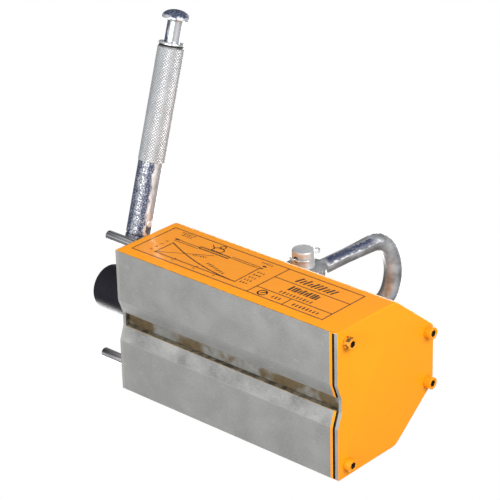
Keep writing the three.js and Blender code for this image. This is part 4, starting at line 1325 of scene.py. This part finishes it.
def knurl(name, radius, low, high, around, depth):
    """A closed sleeve of raised diamonds: a grid poked twice, wrapped round Z."""
    rows = round((high - low) * around / (2 * math.pi * radius))
    start()
    bpy.ops.mesh.primitive_grid_add(x_subdivisions=around, y_subdivisions=rows, size=1)
    sleeve = named(name)
    first_count = len(sleeve.data.vertices)
    with Editing(sleeve):
        bpy.ops.mesh.poke()
    uses = {}
    for face in sleeve.data.polygons:
        for key in face.edge_keys:
            uses[key] = uses.get(key, 0) + 1
    with Editing(sleeve):
        bpy.ops.mesh.select_all(action="DESELECT")
        bpy.ops.mesh.select_mode(type="EDGE")
    for edge in sleeve.data.edges:
        edge.select = max(edge.vertices) < first_count and uses[edge.key] == 2
    pick(sleeve)
    bpy.ops.object.mode_set(mode="EDIT")
    bpy.ops.mesh.dissolve_edges(use_verts=False)
    bpy.ops.mesh.select_mode(type="VERT")
    bpy.ops.mesh.select_all(action="SELECT")
    bpy.ops.mesh.poke(offset=0.5)
    bpy.ops.object.mode_set(mode="OBJECT")
    for vertex in sleeve.data.vertices:
        u, v, lift = vertex.co.x + 0.5, vertex.co.y + 0.5, 1.0 if vertex.co.z > 0.1 else 0.0
        angle, reach = 2 * math.pi * u, radius - depth + depth * lift
        vertex.co = (reach * math.cos(angle), reach * math.sin(angle), low + (high - low) * v)
    with Editing(sleeve):
        bpy.ops.mesh.remove_doubles(threshold=1e-6)
        bpy.ops.mesh.select_all(action="DESELECT")
        bpy.ops.mesh.select_non_manifold()
        bpy.ops.mesh.extrude_region_move()
        bpy.ops.transform.resize(value=(0.9, 0.9, 1))
        bpy.ops.mesh.fill_holes(sides=0)
        bpy.ops.mesh.select_all(action="SELECT")
        bpy.ops.mesh.normals_make_consistent(inside=False)
    return sleeve


def slot_tool():
    """The slot that the latch pin travels in, as a rounded bar across the rod."""
    half = LATCH_RADIUS + CLEAR
    ends = [(LATCH_AT, 0), (LATCH_AT - BUTTON_TRAVEL, math.pi)]
    corners = []
    for height, turn in ends:
        for i in range(13):
            angle = turn + math.pi * i / 12
            corners.append((half * math.cos(angle), height + half * math.sin(angle)))
    return prism("slot_tool", corners, -0.02, 0.02)


class MAGNET_OT_lever(bpy.types.Operator):
    """Make the lever: socket, rod with its slot, knurled grip and end bush."""

    bl_idname = "magnet.lever"
    bl_label = "Lever"

    def execute(self, context):
        sizes = context.scene.magnet_sizes
        inner = NECK_RADIUS + CLEAR
        bottom = SOCKET_TOP - TENON_LENGTH - CLEAR
        socket = spun("lever_socket_tube", rounded(
            [(0, SHAFT_RADIUS + 0.001), (NECK_RADIUS, SHAFT_RADIUS + 0.001), (NECK_RADIUS, SOCKET_SEAT),
             (ROD_RADIUS, SOCKET_SEAT), (ROD_RADIUS, SOCKET_TOP), (inner, SOCKET_TOP), (inner, bottom),
             (0, bottom)],
            [0, 0.0006, 0, 0.0006, 0.0014, 0.0003, 0, 0]), 64, LEVER_PLACE)
        hand_over(socket, "rotor", ["lever_socket"], "lever_plating")

        seat = SOCKET_TOP + CLEAR
        core = GRIP_RADIUS - sizes.knurl_depth - 0.0001
        rod = spun("rod", rounded(
            [(0, seat - TENON_LENGTH), (NECK_RADIUS, seat - TENON_LENGTH), (NECK_RADIUS, seat),
             (ROD_RADIUS, seat), (ROD_RADIUS, GRIP_BOTTOM - 0.0006), (core, GRIP_BOTTOM), (core, GRIP_TOP),
             (SPRING_CHAMBER, GRIP_TOP), (SPRING_CHAMBER, SPRING_SEAT),
             (ROD_BORE, SPRING_SEAT), (ROD_BORE, ROD_BORE_BOTTOM), (0, ROD_BORE_BOTTOM)],
            [0, 0.0006, 0, 0.0022, 0.0003, 0.0003, 0.0010, 0.0003, 0, 0, 0, 0], 5), 80)
        cut(rod, slot_tool())
        finish_faces(rod, ("lever_plating", "knurled_zinc"),
                     lambda face: "lever_plating" if face.center.z < GRIP_BOTTOM + 0.0008 else "knurled_zinc")
        sleeve = knurl("sleeve", GRIP_RADIUS, GRIP_BOTTOM + 0.0004, GRIP_TOP - 0.0012, sizes.knurl_rows,
                       sizes.knurl_depth)
        sleeve.data.materials.append(MATERIALS["knurled_zinc"])
        cut(sleeve, cylinder("sleeve_tool", GRIP_RADIUS - 0.0018, 0, 0.3, sides=64))
        lever = joined("lever_rod_bar", [rod, sleeve])
        lever.data.transform(LEVER_PLACE)
        hand_over(lever, "rotor", ["lever_rod"], angle=24)

        hole, rest = BUTTON_NECK + CLEAR, GRIP_TOP + CLEAR
        flange, tenon = GRIP_RADIUS - 0.0004, SPRING_CHAMBER - CLEAR
        bush = spun("end_bush_ring", rounded(
            [(hole, rest - BUSH_TENON), (tenon, rest - BUSH_TENON), (tenon, rest), (flange - 0.0007, rest),
             (flange - 0.0007, rest + BUSH_JOINT), (flange, rest + BUSH_JOINT), (flange, rest + BUSH_HEIGHT),
             (hole, rest + BUSH_HEIGHT)],
            [0.0002, 0.0004, 0, 0, 0, 0.0002, 0.0014, 0.0003], closed=True), 72)

        def chosen(face):
            low = rest - NEAR < face.center.z < rest + BUSH_JOINT + NEAR
            outside = math.hypot(face.center.x, face.center.y) > tenon
            # painted shade in the joint under the bush's flange
            return "recess_painted_shade" if low and outside else "bush_plating"

        finish_faces(bush, ("bush_plating", "recess_painted_shade"), chosen)
        bush.data.transform(LEVER_PLACE)
        hand_over(bush, "rotor", ["end_bush"])
        return {"FINISHED"}


class MAGNET_OT_button(bpy.types.Operator):
    """Make the safety button and the latch pin."""

    bl_idname = "magnet.button"
    bl_label = "Safety button"

    def execute(self, context):
        bore = PUSH_ROD_RADIUS + CLEAR
        foot = SPRING_CHAMBER - CLEAR
        rim = BUTTON_UNDERSIDE + 0.0008
        dome = [(BUTTON_RADIUS * math.cos(a), rim + 0.0011 + BUTTON_DOME * math.sin(a))
                for a in [math.pi / 2 * i / 14 for i in range(15)]]
        dome[-1] = (0, dome[-1][1])
        lip = rounded([(BUTTON_NECK, BUTTON_UNDERSIDE), (BUTTON_RADIUS - 0.0012, rim - 0.0002),
                       (BUTTON_RADIUS, rim + 0.0004), dome[0]], [0, 0.0006, 0.0005, 0], 3)
        profile = [(0, BUTTON_BORE_TOP), (bore, BUTTON_BORE_TOP), (bore, FOOT_BOTTOM), (foot, FOOT_BOTTOM),
                   (foot, FOOT_TOP), (BUTTON_NECK, FOOT_TOP), (BUTTON_NECK, BUTTON_UNDERSIDE - 0.0014),
                   (BUTTON_NECK + 0.0004, BUTTON_UNDERSIDE - 0.0004), *lip, *dome[1:]]
        button = spun("safety_button_cap", profile, 72, LEVER_PLACE)
        hand_over(button, "button", ["safety_button"], "button_plating", angle=40)
        turn = LEVER_PLACE @ Matrix.Translation((0, 0, LATCH_AT)) @ Matrix.Rotation(math.pi / 2, 4, "Y")
        profile = pin_profile(LATCH_RADIUS, -LATCH_REACH, LATCH_REACH, 0.0010, 0.0010)
        latch = spun("latch_pin_bar", profile, 40, turn)
        hand_over(latch, "button", ["latch_pin"], "bare_zinc")
        return {"FINISHED"}


class MAGNET_OT_inner_parts(bpy.types.Operator):
    """Give the CAD model's inner pieces their finishes."""

    bl_idname = "magnet.inner_parts"
    bl_label = "Inner pieces"

    def execute(self, context):
        finishes = {"ground_steel": "machined_steel", "lever_chrome": "bush_plating",
                    "shackle_zinc": "bare_zinc", "slot_brass": "browned_strip", "body_paint": "body_enamel"}
        slots = {part["node"]: part["material_slot"] for part in frame["record"]["subparts"]}
        for node, piece in frame["nodes"].items():
            slot = slots[node]
            piece.data.materials.clear()
            piece.data.materials.append(MATERIALS[finishes.get(slot, slot)])
        return {"FINISHED"}


# ---- stage -------------------------------------------------------------------------------------------


def floor_material():
    """Pale from above, and clear from below so that the pole faces can be seen."""
    tree, shader = new_material("pale_floor", 0.9, 0.0)
    where = tree.place()
    clouds = tree.noise(where, 9.0, 3.0)
    tree.put(shader.inputs["Base Color"], tree.mix(clouds, (0.80, 0.80, 0.79), (0.84, 0.84, 0.83)))
    clear = tree.add("ShaderNodeBsdfTransparent")
    behind = tree.add("ShaderNodeNewGeometry").outputs["Backfacing"]
    mixed = tree.add("ShaderNodeMixShader", {0: behind, 1: shader.outputs[0], 2: clear.outputs[0]})
    output = next(n for n in tree.tree.nodes if n.type == "OUTPUT_MATERIAL")
    tree.put(output.inputs["Surface"], mixed.outputs[0])
    return MATERIALS["pale_floor"]


def soft_light(name, place, size, power):
    """A square lamp that points at the middle of the body."""
    start()
    bpy.ops.object.light_add(type="AREA", location=place)
    lamp = bpy.context.active_object
    lamp.name = name
    lamp.data.shape = "SQUARE"
    lamp.data.size = size
    lamp.data.energy = power
    lamp.rotation_euler = (LIGHT_AIM - Vector(place)).to_track_quat("-Z", "Y").to_euler()


def studio_world():
    """White behind the magnet, an even fill on it, and a dim room with a bright side in its reflections."""
    world = bpy.data.worlds.new("studio")
    world.use_nodes = True
    tree = Tree(world.node_tree)
    fill = world.node_tree.nodes["Background"]
    fill.inputs["Color"].default_value = (1, 1, 1, 1)
    fill.inputs["Strength"].default_value = 0.45
    toward = tree.add("ShaderNodeTexCoord").outputs["Generated"]
    bright = tree.span(tree.dot(toward, (0.55, -0.35, -0.75)), -0.2, 0.7, 0.22, 0.75)
    room = tree.add("ShaderNodeBackground", {"Color": (0.97, 0.98, 1, 1), "Strength": bright})
    backdrop = tree.add("ShaderNodeBackground", {"Color": (1, 1, 1, 1), "Strength": 1.0})
    ray = tree.add("ShaderNodeLightPath").outputs
    lit = tree.add("ShaderNodeMixShader", {0: ray["Is Glossy Ray"], 1: fill.outputs[0], 2: room.outputs[0]})
    seen = tree.add("ShaderNodeMixShader",
                    {0: ray["Is Camera Ray"], 1: lit.outputs[0], 2: backdrop.outputs[0]})
    output = next(n for n in tree.tree.nodes if n.type == "OUTPUT_WORLD")
    tree.put(output.inputs["Surface"], seen.outputs[0])
    return world


CAMERA_PLACE = (1.03781, -0.76111, -1.09182)
CAMERA_VIEW = (-0.61400507, 0.42407765, 0.66569958)
CAMERA_UP = (-0.26839598, -0.90532236, 0.32917324)
CAMERA_LENS = 157.09
LIGHT_AIM = Vector((0, MID_Y, 0.06))


class MAGNET_OT_stage(bpy.types.Operator):
    """Make the floor, the light and the camera."""

    bl_idname = "magnet.stage"
    bl_label = "Stage"

    def execute(self, context):
        start()
        bpy.ops.mesh.primitive_plane_add(size=6, location=(0, MID_Y, -0.0004))
        floor = named("floor")
        bpy.ops.object.transform_apply(location=True, rotation=True, scale=True)
        floor.data.materials.append(floor_material())
        for ray in ("diffuse", "glossy", "transmission", "shadow", "volume_scatter"):
            setattr(floor, "visible_" + ray, False)

        context.scene.world = studio_world()
        soft_light("key_light", (1.35, -0.85, -0.05), 1.1, 24)
        soft_light("low_light", (0.15, -0.35, -1.5), 1.2, 22)
        soft_light("top_light", (-0.4, 0.3, 1.5), 1.2, 24)
        soft_light("back_light", (-0.9, 1.3, 0.4), 1.0, 16)

        camera = bpy.data.objects.new("camera", bpy.data.cameras.new("camera"))
        context.scene.collection.objects.link(camera)
        back, up = -Vector(CAMERA_VIEW).normalized(), Vector(CAMERA_UP).normalized()
        right = up.cross(back).normalized()
        turn = Matrix((right, back.cross(right), back)).transposed()
        camera.matrix_world = Matrix.Translation(CAMERA_PLACE) @ turn.to_4x4()
        camera.data.lens = CAMERA_LENS
        camera.data.sensor_width = 36
        camera.data.clip_start = 0.05
        camera.data.clip_end = 20
        context.scene.camera = camera
        context.scene.view_settings.view_transform = "Standard"
        return {"FINISHED"}


STEPS = (MAGNET_OT_finishes, MAGNET_OT_inner_parts, MAGNET_OT_body, MAGNET_OT_covers, MAGNET_OT_screws,
         MAGNET_OT_pins_and_strip, MAGNET_OT_label, MAGNET_OT_lug, MAGNET_OT_shackle, MAGNET_OT_hub,
         MAGNET_OT_lever, MAGNET_OT_button, MAGNET_OT_stage)


class MAGNET_PT_panel(bpy.types.Panel):
    """Lists the magnet's steps, sizes and colours."""

    bl_idname = "MAGNET_PT_panel"
    bl_label = "Lifting magnet"
    bl_space_type = "VIEW_3D"
    bl_region_type = "UI"
    bl_category = "Magnet"

    def draw(self, context):
        layout = self.layout
        for step in STEPS:
            layout.operator(step.bl_idname)
        for group in (context.scene.magnet_sizes, context.scene.magnet_colours):
            for key in group.__annotations__:
                layout.prop(group, key)


CLASSES = (MagnetSizes, MagnetColours, *STEPS, MAGNET_PT_panel)


def register():
    for cls in CLASSES:
        bpy.utils.register_class(cls)
    bpy.types.Scene.magnet_sizes = PointerProperty(type=MagnetSizes)
    bpy.types.Scene.magnet_colours = PointerProperty(type=MagnetColours)


def unregister():
    del bpy.types.Scene.magnet_colours
    del bpy.types.Scene.magnet_sizes
    for cls in reversed(CLASSES):
        bpy.utils.unregister_class(cls)


def main():
    register()
    for step in STEPS:
        area, action = step.bl_idname.split(".")
        getattr(getattr(bpy.ops, area), action)()
    start()


if __name__ == "__main__":
    main()
